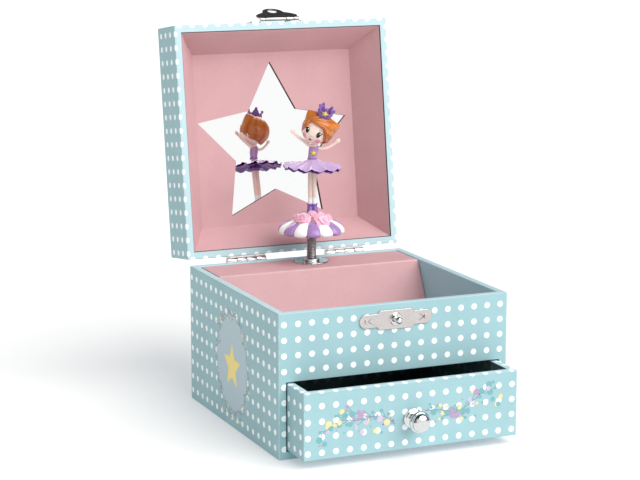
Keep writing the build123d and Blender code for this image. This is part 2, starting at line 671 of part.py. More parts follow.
# ---------------------------------------------------------------- clockwork
BACK_INSIDE = Plane(origin=(0, IN_D, 0), x_dir=(1, 0, 0), z_dir=(0, -1, 0))     # faces forward
BED_LEFT = -36.0
BED_RIGHT = CHEEK_X + CHEEK_T
BED_LOW = FLOOR_Z + 0.3
BED_TOP = 82.0
LUG_T = 1.4
LEFT_LUG_X = -11.6
GOVERNOR_R = 0.8
with BuildPart() as movement_bedplate:
    with BuildSketch(BACK_INSIDE):
        with Locations(((BED_LEFT + BED_RIGHT) / 2, (BED_LOW + BED_TOP) / 2)):
            RectangleRounded(BED_RIGHT - BED_LEFT, BED_TOP - BED_LOW, 2.0)
    extrude(amount=BED_T)
    # boss for the winding arbor, lugs for the cylinder, spindle and governor, pad for the comb
    with BuildSketch(BACK_INSIDE):
        with Locations((DRUM_X, CYL_Z)):
            Circle(4.0)
    extrude(amount=IN_D - DRUM_BACK - 0.8)
    with Locations((LEFT_LUG_X, 57.0, CYL_Z - 3.5)):
        Box(LUG_T, BED_FRONT - 57.0, 7.0, align=(Align.MIN, Align.MIN, Align.MIN))
    with Locations((CHEEK_X, GOVERNOR_Y - 3.0, 56.0)):
        Box(CHEEK_T, BED_FRONT - GOVERNOR_Y + 3.0, 24.0, align=(Align.MIN, Align.MIN, Align.MIN))
    for z in (56.0, 78.6):
        with Locations((GOVERNOR_X - 2.0, GOVERNOR_Y - 3.0, z)):
            Box(CHEEK_X - GOVERNOR_X + 2.0, 6.0, LUG_T, align=(Align.MIN, Align.MIN, Align.MIN))
    with Locations((-2.5, SPINDLE_Y - 4.0, SPINDLE_LUG_Z)):
        Box(11.0, BED_FRONT - SPINDLE_Y + 4.0, LUG_T, align=(Align.MIN, Align.MIN, Align.MIN))
    with Locations((CYL_LEFT, COMB_Y + COMB_T, BED_LOW)):
        Box(CROWN_FACE - CYL_LEFT - 1.6, BED_FRONT - COMB_Y - COMB_T, COMB_PAD_H,
            align=(Align.MIN, Align.MIN, Align.MIN))
    # bores and screw holes
    with BuildSketch(BACK_INSIDE):
        with Locations((DRUM_X, CYL_Z)):
            Circle(ARBOR_R + PIN_GAP)
        with Locations(*MOUNT_SCREWS):
            Circle(0.8)
    extrude(amount=IN_D - DRUM_BACK, mode=Mode.SUBTRACT)
    with Locations(Location((0, SPINDLE_Y, CYL_Z), (0, 90, 0))):
        Cylinder(1.0 + PIN_GAP, 40.0, mode=Mode.SUBTRACT)
    with Locations((SPINDLE_X, SPINDLE_Y, SPINDLE_LUG_Z)):
        Cylinder(SPINDLE_R + PIN_GAP, 4.0, mode=Mode.SUBTRACT)
    with Locations((GOVERNOR_X, GOVERNOR_Y, 68.0)):
        Cylinder(GOVERNOR_R + PIN_GAP, 24.2, mode=Mode.SUBTRACT)
    with Locations((STOP_X, STOP_Y, SPINDLE_LUG_Z)):
        Cylinder(STOP_R + 0.1, 4.0, mode=Mode.SUBTRACT)
    with Locations(*[Location((x, COMB_Y + COMB_T, BED_LOW + COMB_PAD_H / 2), (90, 0, 0))
                     for x in (-COMB_SCREW_X, COMB_SCREW_X)]):
        Cylinder(0.8, 7.0, mode=Mode.SUBTRACT)
movement_bedplate.part.label = "movement_bedplate"
export_step(movement_bedplate.part, "parts/movement_bedplate.step")


def straight_teeth(count, module, root_r, tip_r, phase=0.0):
    """Slim spur teeth about the sketch origin, narrower towards their tips."""
    half = module * pi * TOOTH_SHARE / 2
    with PolarLocations(0, count, start_angle=phase):
        Polygon((root_r - 0.4, -half * 1.15), (tip_r, -half * 0.65), (tip_r, half * 0.65),
                (root_r - 0.4, half * 1.15), align=None)


def crown_teeth(count, module, low_r, high_r, phase=0.0):
    """Slim teeth standing on a ring about the sketch origin, each running radially."""
    width = module * pi * TOOTH_SHARE
    with PolarLocations((low_r + high_r) / 2, count, start_angle=phase):
        Rectangle(high_r - low_r, width)


# pinned cylinder lying along X, with a pinion on its left and a crown wheel on its right
CYL_PLANE = Plane(origin=(0, SPINDLE_Y, CYL_Z), x_dir=(0, 1, 0), z_dir=(1, 0, 0))
PIN_ROWS = 11
with BuildPart() as cylinder:
    with BuildSketch(CYL_PLANE.offset(LEFT_LUG_X)):
        Circle(1.0)
    extrude(amount=BED_RIGHT - LEFT_LUG_X)
    with BuildSketch(CYL_PLANE.offset(CYL_LEFT)):
        Circle(CYL_R)
    extrude(amount=CROWN_FACE - CYL_LEFT)
    with BuildSketch(CYL_PLANE.offset(CROWN_FACE)):
        Circle(crown_r + 0.8)
    extrude(amount=CROWN_T)
    with BuildSketch(CYL_PLANE.offset(CROWN_FACE)):
        crown_teeth(CROWN_TEETH, CROWN_MODULE, crown_r - 0.8, crown_r + 0.8)
    extrude(amount=-1.4)
    with BuildSketch(CYL_PLANE.offset(PINION_X - 1.1)):
        Circle(pinion_pitch_r - 0.6)
        straight_teeth(PINION_TEETH, DRUM_MODULE, pinion_pitch_r - 0.6, pinion_pitch_r + 0.5)
    extrude(amount=2.2)
    for row in range(PIN_ROWS):
        x = CYL_LEFT + 0.9 + row * 0.95
        for number in range(3):
            turn = (row * 77 + number * 131) % 360
            outward = Location((0, 0, x), (0, 0, turn)) * Location((0, 0, 0), (0, 90, 0))
            with Locations(CYL_PLANE.location * outward):
                Cylinder(0.22, CYL_R + CYL_PIN_H, align=(Align.CENTER, Align.CENTER, Align.MIN))
cylinder.part.label = "cylinder"
export_step(cylinder.part, "parts/cylinder.step")

spring_plug_r = SPRING_R - SPRING_WIRE - 0.1
spring_low = flange_top + 0.1
with BuildPart() as spindle:
    crown_level = CYL_Z + crown_r
    with BuildSketch(Plane.XY.offset(crown_level - 1.2)):
        with Locations((SPINDLE_X, SPINDLE_Y)):
            Circle(spindle_pitch_r - 0.8)
    extrude(amount=2.4)
    with BuildSketch(Plane(origin=(SPINDLE_X, SPINDLE_Y, crown_level - 1.2))):
        half_tooth = 180 / SPINDLE_TEETH
        root_r = spindle_pitch_r - 0.8
        straight_teeth(SPINDLE_TEETH, CROWN_MODULE, root_r, spindle_pitch_r + 0.6, half_tooth)
    extrude(amount=2.4)
    with BuildSketch(Plane(origin=(SPINDLE_X, SPINDLE_Y, crown_level - 1.0))):
        Circle(SPINDLE_R)
    extrude(amount=spring_low + 3.0 - crown_level + 1.0)
    with BuildSketch(Plane(origin=(SPINDLE_X, SPINDLE_Y, spring_low))):
        Circle(spring_plug_r)
    extrude(amount=3.0)
spindle.part.label = "spindle"
export_step(spindle.part, "parts/spindle.step")

DRUM_PLANE = Plane(origin=(DRUM_X, 0, CYL_Z), x_dir=(1, 0, 0), z_dir=(0, 1, 0))
with BuildPart() as spring_barrel:
    with BuildSketch(DRUM_PLANE.offset(DRUM_FRONT)):
        Circle(drum_r + 0.9)
        Circle(ARBOR_R + PIN_GAP, mode=Mode.SUBTRACT)
    extrude(amount=DRUM_BACK - DRUM_FRONT)
    chamfer(spring_barrel.faces().sort_by(Axis.Y)[0].edges().sort_by(SortBy.RADIUS)[-1], 0.6)
    with BuildSketch(DRUM_PLANE.offset(DRUM_BACK)):
        crown_teeth(DRUM_TEETH, DRUM_MODULE, drum_r - 0.9, drum_r + 0.9, 180 / DRUM_TEETH)
    extrude(amount=1.2)
spring_barrel.part.label = "spring_barrel"
export_step(spring_barrel.part, "parts/spring_barrel.step")

KEY_Y = HALF_D + KEY_GAP
KEY_HUB_R = 3.0
KEY_HUB_L = 6.0
with BuildPart() as winding_arbor:
    with BuildSketch(DRUM_PLANE.offset(DRUM_FRONT - 1.0)):
        Circle(ARBOR_R)
    extrude(amount=KEY_Y + KEY_HUB_L - 1.0 - DRUM_FRONT)
winding_arbor.part.label = "winding_arbor"
export_step(winding_arbor.part, "parts/winding_arbor.step")

KEY_BOW_W = 21.0
KEY_BOW_H = 9.0
KEY_BOW_T = 1.6
KEY_EYE_X = 5.6
key_bow = Plane(origin=(DRUM_X, KEY_Y + KEY_HUB_L + KEY_BOW_H / 2 - 2.0, CYL_Z - KEY_BOW_T / 2))
with BuildPart() as winding_key:
    with BuildSketch(DRUM_PLANE.offset(KEY_Y)):
        Circle(KEY_HUB_R)
    extrude(amount=KEY_HUB_L)
    with BuildSketch(key_bow):
        SlotOverall(KEY_BOW_W, KEY_BOW_H)
        with Locations((-KEY_EYE_X, 0), (KEY_EYE_X, 0)):
            Circle(1.9, mode=Mode.SUBTRACT)
    extrude(amount=KEY_BOW_T)
    with BuildSketch(DRUM_PLANE.offset(KEY_Y)):
        Circle(ARBOR_R)
    extrude(amount=KEY_HUB_L - 1.0, mode=Mode.SUBTRACT)
winding_key.part.label = "winding_key"
export_step(winding_key.part, "parts/winding_key.step")

with BuildPart() as governor:
    with BuildSketch(Plane(origin=(GOVERNOR_X, GOVERNOR_Y, 56.2))):
        Circle(GOVERNOR_R)
    extrude(amount=23.6)
    with BuildSketch(Plane(origin=(GOVERNOR_X, GOVERNOR_Y, 61.5))):
        Circle(1.5)
    extrude(amount=9.0)
    with Locations((GOVERNOR_X, GOVERNOR_Y, 77.0)):
        Box(6.2, 0.5, 2.4)
governor.part.label = "governor"
export_step(governor.part, "parts/governor.step")

COMB_TEETH = 12
comb_right = CROWN_FACE - 1.6
comb_root_z = BED_LOW + COMB_PAD_H
with BuildPart() as comb:
    comb_face = Plane(origin=(0, COMB_Y + COMB_T, 0), x_dir=(1, 0, 0), z_dir=(0, -1, 0))
    comb_tip = CYL_Z - CYL_R - CYL_PIN_H - 0.25
    with BuildSketch(comb_face):
        with Locations((CYL_LEFT, BED_LOW)):
            Rectangle(comb_right - CYL_LEFT, comb_tip - BED_LOW, align=(Align.MIN, Align.MIN))
        pitch = (comb_right - CYL_LEFT) / COMB_TEETH
        with Locations(*[(CYL_LEFT + pitch * (k + 1), comb_tip) for k in range(COMB_TEETH - 1)]):
            Rectangle(0.28, comb_tip - comb_root_z, align=(Align.CENTER, Align.MAX), mode=Mode.SUBTRACT)
        with Locations(*[(x, BED_LOW + COMB_PAD_H / 2) for x in (-COMB_SCREW_X, COMB_SCREW_X)]):
            Circle(0.8, mode=Mode.SUBTRACT)
    extrude(amount=COMB_T)
comb.part.label = "comb"
export_step(comb.part, "parts/comb.step")


def small_screws(rows):
    """Cheese-head screws with plain shanks; each row is a face, its spots and the shank's length."""
    with BuildPart() as screw_set:
        for face, spots, grip in rows:
            with BuildSketch(face):
                with Locations(*spots):
                    Circle(1.5)
            extrude(amount=1.0)
            with BuildSketch(face.offset(1.0)):
                with Locations(*spots):
                    Rectangle(2.4, 0.4)
            extrude(amount=-0.4, mode=Mode.SUBTRACT)
            with BuildSketch(face):
                with Locations(*spots):
                    Circle(0.8)
            extrude(amount=-grip)
    return screw_set


comb_spots = [(x, BED_LOW + COMB_PAD_H / 2) for x in (-COMB_SCREW_X, COMB_SCREW_X)]
movement_screws = small_screws([
    (BACK_INSIDE.offset(BED_T), MOUNT_SCREWS, BED_T + 3.4),
    (comb_face.offset(COMB_T), comb_spots, COMB_T + 3.2),
])
movement_screws.part.label = "movement_screws"
export_step(movement_screws.part, "parts/movement_screws.step")

STOP_TOP = 95.0
with BuildPart() as stop_rod:
    with BuildSketch(Plane(origin=(STOP_X, STOP_Y, 75.6))):
        Circle(STOP_R)
    extrude(amount=STOP_TOP - 75.6)
    fillet(stop_rod.faces().sort_by(Axis.Z)[-1].edges(), 0.35)
stop_rod.part.label = "stop_rod"
export_step(stop_rod.part, "parts/stop_rod.step")

# ---------------------------------------------------------------- dancer
turn = radians(FIGURE_TURN)
FIGURE = Plane(origin=(SPINDLE_X, SPINDLE_Y, BODY_H), x_dir=(cos(turn), sin(turn), 0), z_dir=(0, 0, 1))


def figure_plane(x, y, z, tilt=0.0, face=(0, 0, 0)):
    """A plane in the dancer's frame: x to its picture right, y behind it, tilted sideways."""
    return Plane(FIGURE.location * Location((x, y, z), (0, tilt, 0)) * Location((0, 0, 0), face))


dome_base = BODY_H + DOME_BASE
with BuildPart() as figure_spring:
    with BuildSketch(Plane(origin=(SPINDLE_X, SPINDLE_Y, spring_low))):
        Circle(SPRING_R)
        Circle(SPRING_R - SPRING_WIRE, mode=Mode.SUBTRACT)
    extrude(amount=dome_base - 0.1 - spring_low)
figure_spring.part.label = "figure_spring"
export_step(figure_spring.part, "parts/figure_spring.step")

DOME_WALL = 1.8
DOME_TOP = 29.6
DOME_EDGE = 18.9        # lower edge of the lobes
DOME_BOSS_R = 5.0
with BuildPart() as figure_dome:
    with BuildSketch(figure_plane(0, 0, 0, face=(90, 0, 0))):
        with BuildLine():
            Polyline((0, DOME_TOP), (0, DOME_BASE - 3.0), (spring_plug_r, DOME_BASE - 3.0),
                     (spring_plug_r, DOME_BASE), (DOME_BOSS_R, DOME_BASE), (DOME_BOSS_R, DOME_EDGE + 2.0))
            dome_low = (DOME_R - 0.4, DOME_EDGE)
            dome_inner = (DOME_R - DOME_WALL, DOME_EDGE)
            dome_edge = (DOME_R - 0.6, DOME_EDGE + 2.8)
            ThreePointArc((DOME_BOSS_R, DOME_EDGE + 2.0), (13.0, 22.6), dome_inner)
            Line(dome_inner, dome_low)
            ThreePointArc(dome_low, (DOME_R, DOME_EDGE + 1.4), dome_edge)
            ThreePointArc(dome_edge, cap_middle(*dome_edge, DOME_TOP), (0, DOME_TOP))
        make_face()
    revolve(axis=Axis((SPINDLE_X, SPINDLE_Y, 0), (0, 0, 1)))
figure_dome.part.label = "figure_dome"
export_step(figure_dome.part, "parts/figure_dome.step")

# two legs side by side in stockings and shoes, standing on the dome
LEG_X = 1.35
SHOE_LOW = 29.0
LEG_TOP = 60.5
with BuildPart() as figure_legs:
    for side in (-1, 1):
        with BuildSketch(figure_plane(0.6 + side * LEG_X, 0, 37.2)):
            Circle(1.5)
        with BuildSketch(figure_plane(0.6 + side * (LEG_X - 0.05), 0, LEG_TOP)):
            Circle(1.6)
        loft()
        with BuildSketch(figure_plane(0.5 + side * (LEG_X + 0.3), -1.2, SHOE_LOW)):
            Ellipse(1.75, 3.0)
        with BuildSketch(figure_plane(0.5 + side * (LEG_X + 0.2), -0.4, 34.4)):
            Ellipse(1.7, 2.3)
        with BuildSketch(figure_plane(0.6 + side * LEG_X, 0, 37.8)):
            Ellipse(1.7, 1.7)
        loft()
    add(figure_dome.part, mode=Mode.SUBTRACT)
figure_legs.part.label = "figure_legs"
export_step(figure_legs.part, "parts/figure_legs.step")

ROSE_R = 5.0
ROSES = 6
ROSE_LOW = 23.2         # roses are flat underneath
with BuildPart() as figure_roses:
    for number in range(ROSES):
        angle = radians(30 + number * 360 / ROSES)
        with Locations(figure_plane(7.6 * cos(angle), 7.6 * sin(angle), 27.6).location):
            Sphere(ROSE_R)
    add(figure_dome.part, mode=Mode.SUBTRACT)
    add(figure_legs.part, mode=Mode.SUBTRACT)
    with Locations(figure_plane(0, 0, 0).location):
        Cylinder(30.0, 2 * ROSE_LOW, mode=Mode.SUBTRACT)
figure_roses.part.label = "figure_roses"
export_step(figure_roses.part, "parts/figure_roses.step")

TUTU_LOW = 58.7
TUTU_HIGH = 67.4
with BuildPart() as figure_tutu:
    with BuildSketch(figure_plane(0.5, 0, 0, face=(90, 0, 0))):
        with BuildLine():
            Line((0, TUTU_LOW + 0.6), (0, TUTU_HIGH))
            Line((0, TUTU_HIGH), (3.0, TUTU_HIGH))
            ThreePointArc((3.0, TUTU_HIGH), (11.5, 65.4), (TUTU_R, 62.6))
            ThreePointArc((TUTU_R, 62.6), (TUTU_R + 0.5, 61.4), (TUTU_R - 0.4, 60.4))
            ThreePointArc((TUTU_R - 0.4, 60.4), (10.0, 61.6), (3.4, TUTU_LOW))
            Line((3.4, TUTU_LOW), (0, TUTU_LOW + 0.6))
        make_face()
    revolve(axis=Axis(figure_plane(0.5, 0, 0).origin, (0, 0, 1)))
    add(figure_legs.part, mode=Mode.SUBTRACT)
figure_tutu.part.label = "figure_tutu"
export_step(figure_tutu.part, "parts/figure_tutu.step")

HEAD = (4.6, -0.4, 87.0)
HEAD_R = 9.2
head_place = figure_plane(*HEAD, tilt=HEAD_TILT).location
with BuildPart() as figure_head:
    with Locations(head_place):
        Sphere(HEAD_R)
figure_head.part.label = "figure_head"
export_step(figure_head.part, "parts/figure_head.step")

# bodice leaning towards the tilted head
SHOULDER_Z = 76.2
with BuildPart() as figure_bodice:
    with BuildSketch(figure_plane(0.5, 0, TUTU_HIGH - 1.2)):
        Ellipse(2.9, 2.4)
    with BuildSketch(figure_plane(1.4, 0, 72.0)):
        Ellipse(2.9, 2.3)
    with BuildSketch(figure_plane(2.4, 0, SHOULDER_Z)):
        Ellipse(3.4, 2.0)
    loft()
    with BuildSketch(figure_plane(2.5, 0, SHOULDER_Z - 0.4)):
        Circle(1.25)
    extrude(amount=3.6)
    add(figure_tutu.part, mode=Mode.SUBTRACT)
    add(figure_head.part, mode=Mode.SUBTRACT)
figure_bodice.part.label = "figure_bodice"
export_step(figure_bodice.part, "parts/figure_bodice.step")

ARM_R = 1.15
HAND_R = 1.25
ARM_POINTS = {
    "left": [(-0.2, 0.0, 75.4), (-5.1, -0.6, 79.0), (-9.6, -1.0, 82.4), (-12.1, -1.2, 85.0)],
    "right": [(5.0, 0.0, 74.6), (9.7, -0.6, 74.4), (14.4, -1.0, 77.0), (17.4, -1.2, 79.2)],
}
with BuildPart() as figure_arms:
    for points in ARM_POINTS.values():
        path = [figure_plane(*p).origin for p in points]
        with BuildLine() as arm_line:
            FilletPolyline(*path, radius=2.5)
        with BuildSketch(Plane(origin=path[0], z_dir=path[1] - path[0])):
            Circle(ARM_R)
        sweep(path=arm_line.wires()[0])
        with Locations(path[0]):
            Sphere(ARM_R)
        with Locations(path[-1]):
            Sphere(HAND_R)
    add(figure_bodice.part, mode=Mode.SUBTRACT)
figure_arms.part.label = "figure_arms"
export_step(figure_arms.part, "parts/figure_arms.step")

HAIR_R = 10.7
BUN_R = 3.1
BUN_OUT = 8.6
BUN_UP = 7.6
with BuildPart() as figure_hair:
    with Locations(head_place):
        Sphere(HAIR_R)
    for side in (-1, 1):
        with Locations(head_place * Location((side * BUN_OUT, 0.5, BUN_UP))):
            Sphere(BUN_R)
    # the face opening, and the nape above the shoulders
    with Locations(head_place * Location((0, -10.0, -4.6))):
        Cylinder(7.6, 14.0, rotation=(90, 0, 0), mode=Mode.SUBTRACT)
    with Locations(head_place * Location((0, 0, -14.2))):
        Box(30.0, 30.0, 12.0, mode=Mode.SUBTRACT)
    add(figure_head.part, mode=Mode.SUBTRACT)
    add(figure_bodice.part, mode=Mode.SUBTRACT)
    add(figure_arms.part, mode=Mode.SUBTRACT)
figure_hair.part.label = "figure_hair"
export_step(figure_hair.part, "parts/figure_hair.step")

CROWN_LOW_R = 4.3
CROWN_TOP_R = 5.6
CROWN_H = 8.4
CROWN_WALL = 0.9
CROWN_POINTS = 5
crown_place = head_place * Location((0.3, -3.2, HAIR_R - 1.7), (8, 0, 0))
with BuildPart() as figure_crown:
    with BuildSketch(Plane(crown_place)):
        Circle(CROWN_LOW_R)
    with BuildSketch(Plane(crown_place * Location((0, 0, CROWN_H)))):
        Circle(CROWN_TOP_R)
    loft()
    with BuildSketch(Plane(crown_place)):
        Circle(CROWN_LOW_R - CROWN_WALL)
    with BuildSketch(Plane(crown_place * Location((0, 0, CROWN_H)))):
        Circle(CROWN_TOP_R - CROWN_WALL)
    loft(mode=Mode.SUBTRACT)
    for number in range(CROWN_POINTS):
        gap_turn = 54 + number * 360 / CROWN_POINTS
        notch = crown_place * Location((0, 0, 0), (0, 0, gap_turn)) * Location((0, 0, 0), (0, 90, 0))
        with BuildSketch(Plane(notch)):
            Polygon((-3.8, 0), (-CROWN_H - 1, -3.1), (-CROWN_H - 1, 3.1), align=None)
        extrude(amount=10.0, mode=Mode.SUBTRACT)
    add(figure_hair.part, mode=Mode.SUBTRACT)
    add(figure_head.part, mode=Mode.SUBTRACT)
figure_crown.part.label = "figure_crown"
export_step(figure_crown.part, "parts/figure_crown.step")
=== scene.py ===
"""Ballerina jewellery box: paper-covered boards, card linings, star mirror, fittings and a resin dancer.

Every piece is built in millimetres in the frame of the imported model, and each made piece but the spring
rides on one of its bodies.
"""
import json
import random
from math import atan2, cos, exp, hypot, pi, radians, sin, sqrt

import bmesh
import bpy
from bpy.props import FloatProperty, FloatVectorProperty, IntProperty, PointerProperty
from mathutils import Matrix, Vector


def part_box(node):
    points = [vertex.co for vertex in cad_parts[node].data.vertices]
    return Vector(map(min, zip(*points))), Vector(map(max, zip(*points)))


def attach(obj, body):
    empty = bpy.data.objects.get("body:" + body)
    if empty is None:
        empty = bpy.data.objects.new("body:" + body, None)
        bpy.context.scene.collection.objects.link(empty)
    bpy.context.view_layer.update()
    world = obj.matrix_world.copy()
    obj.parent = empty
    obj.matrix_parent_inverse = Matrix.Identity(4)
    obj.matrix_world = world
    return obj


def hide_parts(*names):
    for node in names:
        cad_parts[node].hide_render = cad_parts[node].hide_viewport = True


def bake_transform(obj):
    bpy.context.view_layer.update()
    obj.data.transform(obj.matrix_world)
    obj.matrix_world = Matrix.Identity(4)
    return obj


bl_info = {
    "name": "Ballerina Jewellery Box",
    "version": (1, 0, 0),
    "blender": (4, 5, 0),
    "location": "View3D > Sidebar > Jewellery Box",
    "description": "Builds the finish and the moulded dancer of a musical jewellery box",
    "category": "Object",
}

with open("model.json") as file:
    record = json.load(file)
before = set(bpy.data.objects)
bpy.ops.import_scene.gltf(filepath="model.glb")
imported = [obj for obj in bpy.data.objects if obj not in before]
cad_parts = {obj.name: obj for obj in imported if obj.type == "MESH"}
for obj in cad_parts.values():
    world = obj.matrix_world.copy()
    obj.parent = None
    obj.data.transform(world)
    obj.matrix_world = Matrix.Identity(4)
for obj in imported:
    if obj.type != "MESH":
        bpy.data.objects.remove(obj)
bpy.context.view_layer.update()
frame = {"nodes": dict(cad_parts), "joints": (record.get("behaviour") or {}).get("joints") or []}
MM = 0.001


# ------------------------------------------------------------------ measures from the frame
def corners(node):
    """Lowest and highest corner of a node, in millimetres."""
    low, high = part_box(node)
    return low / MM, high / MM


def joint(name):
    return next(j for j in frame["joints"] if j["name"] == name)


WALL_LOW, WALL_HIGH = corners("left_wall")
HALF_W = -WALL_LOW.x
HALF_D = -WALL_LOW.y
BODY_H = WALL_HIGH.z
WALL = WALL_HIGH.x - WALL_LOW.x
DRAWER_LOW, DRAWER_HIGH = corners("drawer_front")
DRAWER_BACK = corners("drawer_back")[1].y
OPENING_TOP = corners("divider_board")[0].z
SILL_H = DRAWER_LOW.z - (OPENING_TOP - DRAWER_HIGH.z)
SPINDLE = (Vector(corners("spindle")[0]) + Vector(corners("spindle")[1])) / 2

# the lid's frame stands on the hinge pin and leans back with the open lid
LID_PIN = Vector(joint("lid_hinge")["pos_m"]) / MM
LID_LEAN = radians(joint("lid_hinge")["range_deg"][0])
LID = Matrix.Translation(LID_PIN) @ Matrix.Rotation(LID_LEAN, 4, "X")


def corners_in(node, place):
    """Lowest and highest corner of a node, measured along the axes of a frame."""
    inverse = place.inverted()
    spots = [inverse @ (v.co / MM) for v in frame["nodes"][node].data.vertices]
    return [Vector([pick(s[k] for s in spots) for k in range(3)]) for pick in (min, max)]


LID_SIDE_LOW, LID_SIDE_HIGH = corners_in("lid_left", LID)
LID_TOP_LOW, LID_TOP_HIGH = corners_in("lid_top", LID)
LID_CENTRE_Y = (LID_SIDE_LOW.y + LID_SIDE_HIGH.y) / 2

# the dancer's frame stands on the body rim at the spindle: x to the dancer's left hand, y behind
FACING = radians(-23.35)
FIGURE = Matrix.Translation((SPINDLE.x, SPINDLE.y, BODY_H)) @ Matrix.Rotation(FACING, 4, "Z")
HEAD_LEAN = radians(25.0)
HEAD_MIDDLE = (4.6, -0.4, 87.0)
HEAD = FIGURE @ Matrix.Translation(HEAD_MIDDLE) @ Matrix.Rotation(HEAD_LEAN, 4, "Y")
FACE_TURN = radians(-10.3)
FACE_MIDDLE = (-1.2, -0.8, -2.4)
FACE = HEAD @ Matrix.Translation(FACE_MIDDLE) @ Matrix.Rotation(FACE_TURN, 4, "Z")


# ------------------------------------------------------------------ what a user would change
def paint(code):
    """A printed colour, as #rrggbb, in the linear values that a shader takes."""
    parts = [int(code[k:k + 2], 16) / 255 for k in (1, 3, 5)]
    return tuple(p / 12.92 if p <= 0.04045 else ((p + 0.055) / 1.055) ** 2.4 for p in parts) + (1.0,)


def colour(name, code, note):
    return FloatVectorProperty(name=name, description=note, default=paint(code), subtype="COLOR", size=4,
                               min=0.0, max=1.0)


class BoxPaper(bpy.types.PropertyGroup):
    """Printed paper over the boards."""
    ground: colour("Ground", "#98BDC3", "Colour of the paper")
    dot: colour("Dots", "#F6FBFD", "Colour of the printed dots")
    dot_radius: FloatProperty(name="Dot radius", description="Radius of a printed dot, in mm", default=1.85)
    pitch: FloatProperty(name="Dot pitch", description="Between columns of dots, in mm", default=8.856)


class BoxCard(bpy.types.PropertyGroup):
    """Card and felt inside the box."""
    card: colour("Card", "#C89EA1", "Colour of the lining card")
    felt: colour("Felt", "#C08F96", "Colour of the felt on the compartment floor")
    board: colour("Board", "#9C9A96", "Colour of the bare board")


class BoxPrint(bpy.types.PropertyGroup):
    """Printed garland, oval and star."""
    teal: colour("Teal", "#72ABAE", "Colour of the teal spots and leaves")
    yellow: colour("Yellow", "#DDD299", "Colour of the yellow spots")
    mauve: colour("Mauve", "#AF94B4", "Colour of the mauve spots")
    pale: colour("Pale pink", "#C9B8CF", "Colour of the palest spots")
    twig: colour("Twigs", "#7F8598", "Colour of the twigs")
    oval: colour("Oval", "#AFC4CC", "Ground colour of the oval on the sides")
    star: colour("Star", "#F2DC82", "Colour of the star in the oval")
    seed: IntProperty(name="Seed", description="Scatter of the printed spots", default=11)


class BoxMetal(bpy.types.PropertyGroup):
    """Metal fittings and clockwork."""
    nickel: colour("Nickel", "#CBC6C4", "Colour of the plated hinges and clasp")
    chrome: colour("Chrome", "#D9D9D9", "Colour of the polished knob and flange")
    brass: colour("Brass", "#C9A24E", "Colour of the clockwork's brass")
    steel: colour("Steel", "#9A9894", "Colour of the clockwork's steel and the spring")


class BoxDancer(bpy.types.PropertyGroup):
    """The moulded dancer."""
    skin: colour("Skin", "#F2DACD", "Colour of the face, arms and legs")
    blush: colour("Blush", "#E08297", "Colour of the cheeks")
    lips: colour("Lips", "#C22B45", "Colour of the mouth")
    hair: colour("Hair", "#CB7626", "Colour of the hair")
    # painted shade of the hair, low down and between strands
    hair_painted_shade: colour("Hair shade", "#8A3F14", "Colour of the hair low down and between strands")
    skirt: colour("Skirt", "#C2A8D1", "Colour of the skirt's upper side")
    # the skirt's underside colour is painted shade
    skirt_under: colour("Skirt underside", "#6F4A93", "Colour of the skirt's underside")
    bodice: colour("Bodice", "#AA86B6", "Colour of the bodice")
    crown: colour("Crown", "#8059A8", "Colour of the crown and shoes")
    candy: colour("Dome stripe", "#A582B9", "Colour of the dome's stripes")
    ivory: colour("Dome and socks", "#F7F4F2", "Colour of the dome's pale stripes and the socks")
    rose: colour("Roses", "#EDA6BF", "Colour of the roses")
    gold: colour("Stars", "#F5D94E", "Colour of the little stars")


class BoxStage(bpy.types.PropertyGroup):
    """Floor, light and camera."""
    floor: colour("Floor", "#E2E0DC", "Colour of the floor")
    ambient: FloatProperty(name="Ambient", description="Strength of the light from all round", default=0.58)
    key: FloatProperty(name="Key light", description="Strength of the broad main light", default=2.85)
    focal: FloatProperty(name="Focal length", description="Camera lens", default=113.6, unit="CAMERA")


SETTINGS = {
    "box_paper": BoxPaper,
    "box_card": BoxCard,
    "box_print": BoxPrint,
    "box_metal": BoxMetal,
    "box_dancer": BoxDancer,
    "box_stage": BoxStage,
}


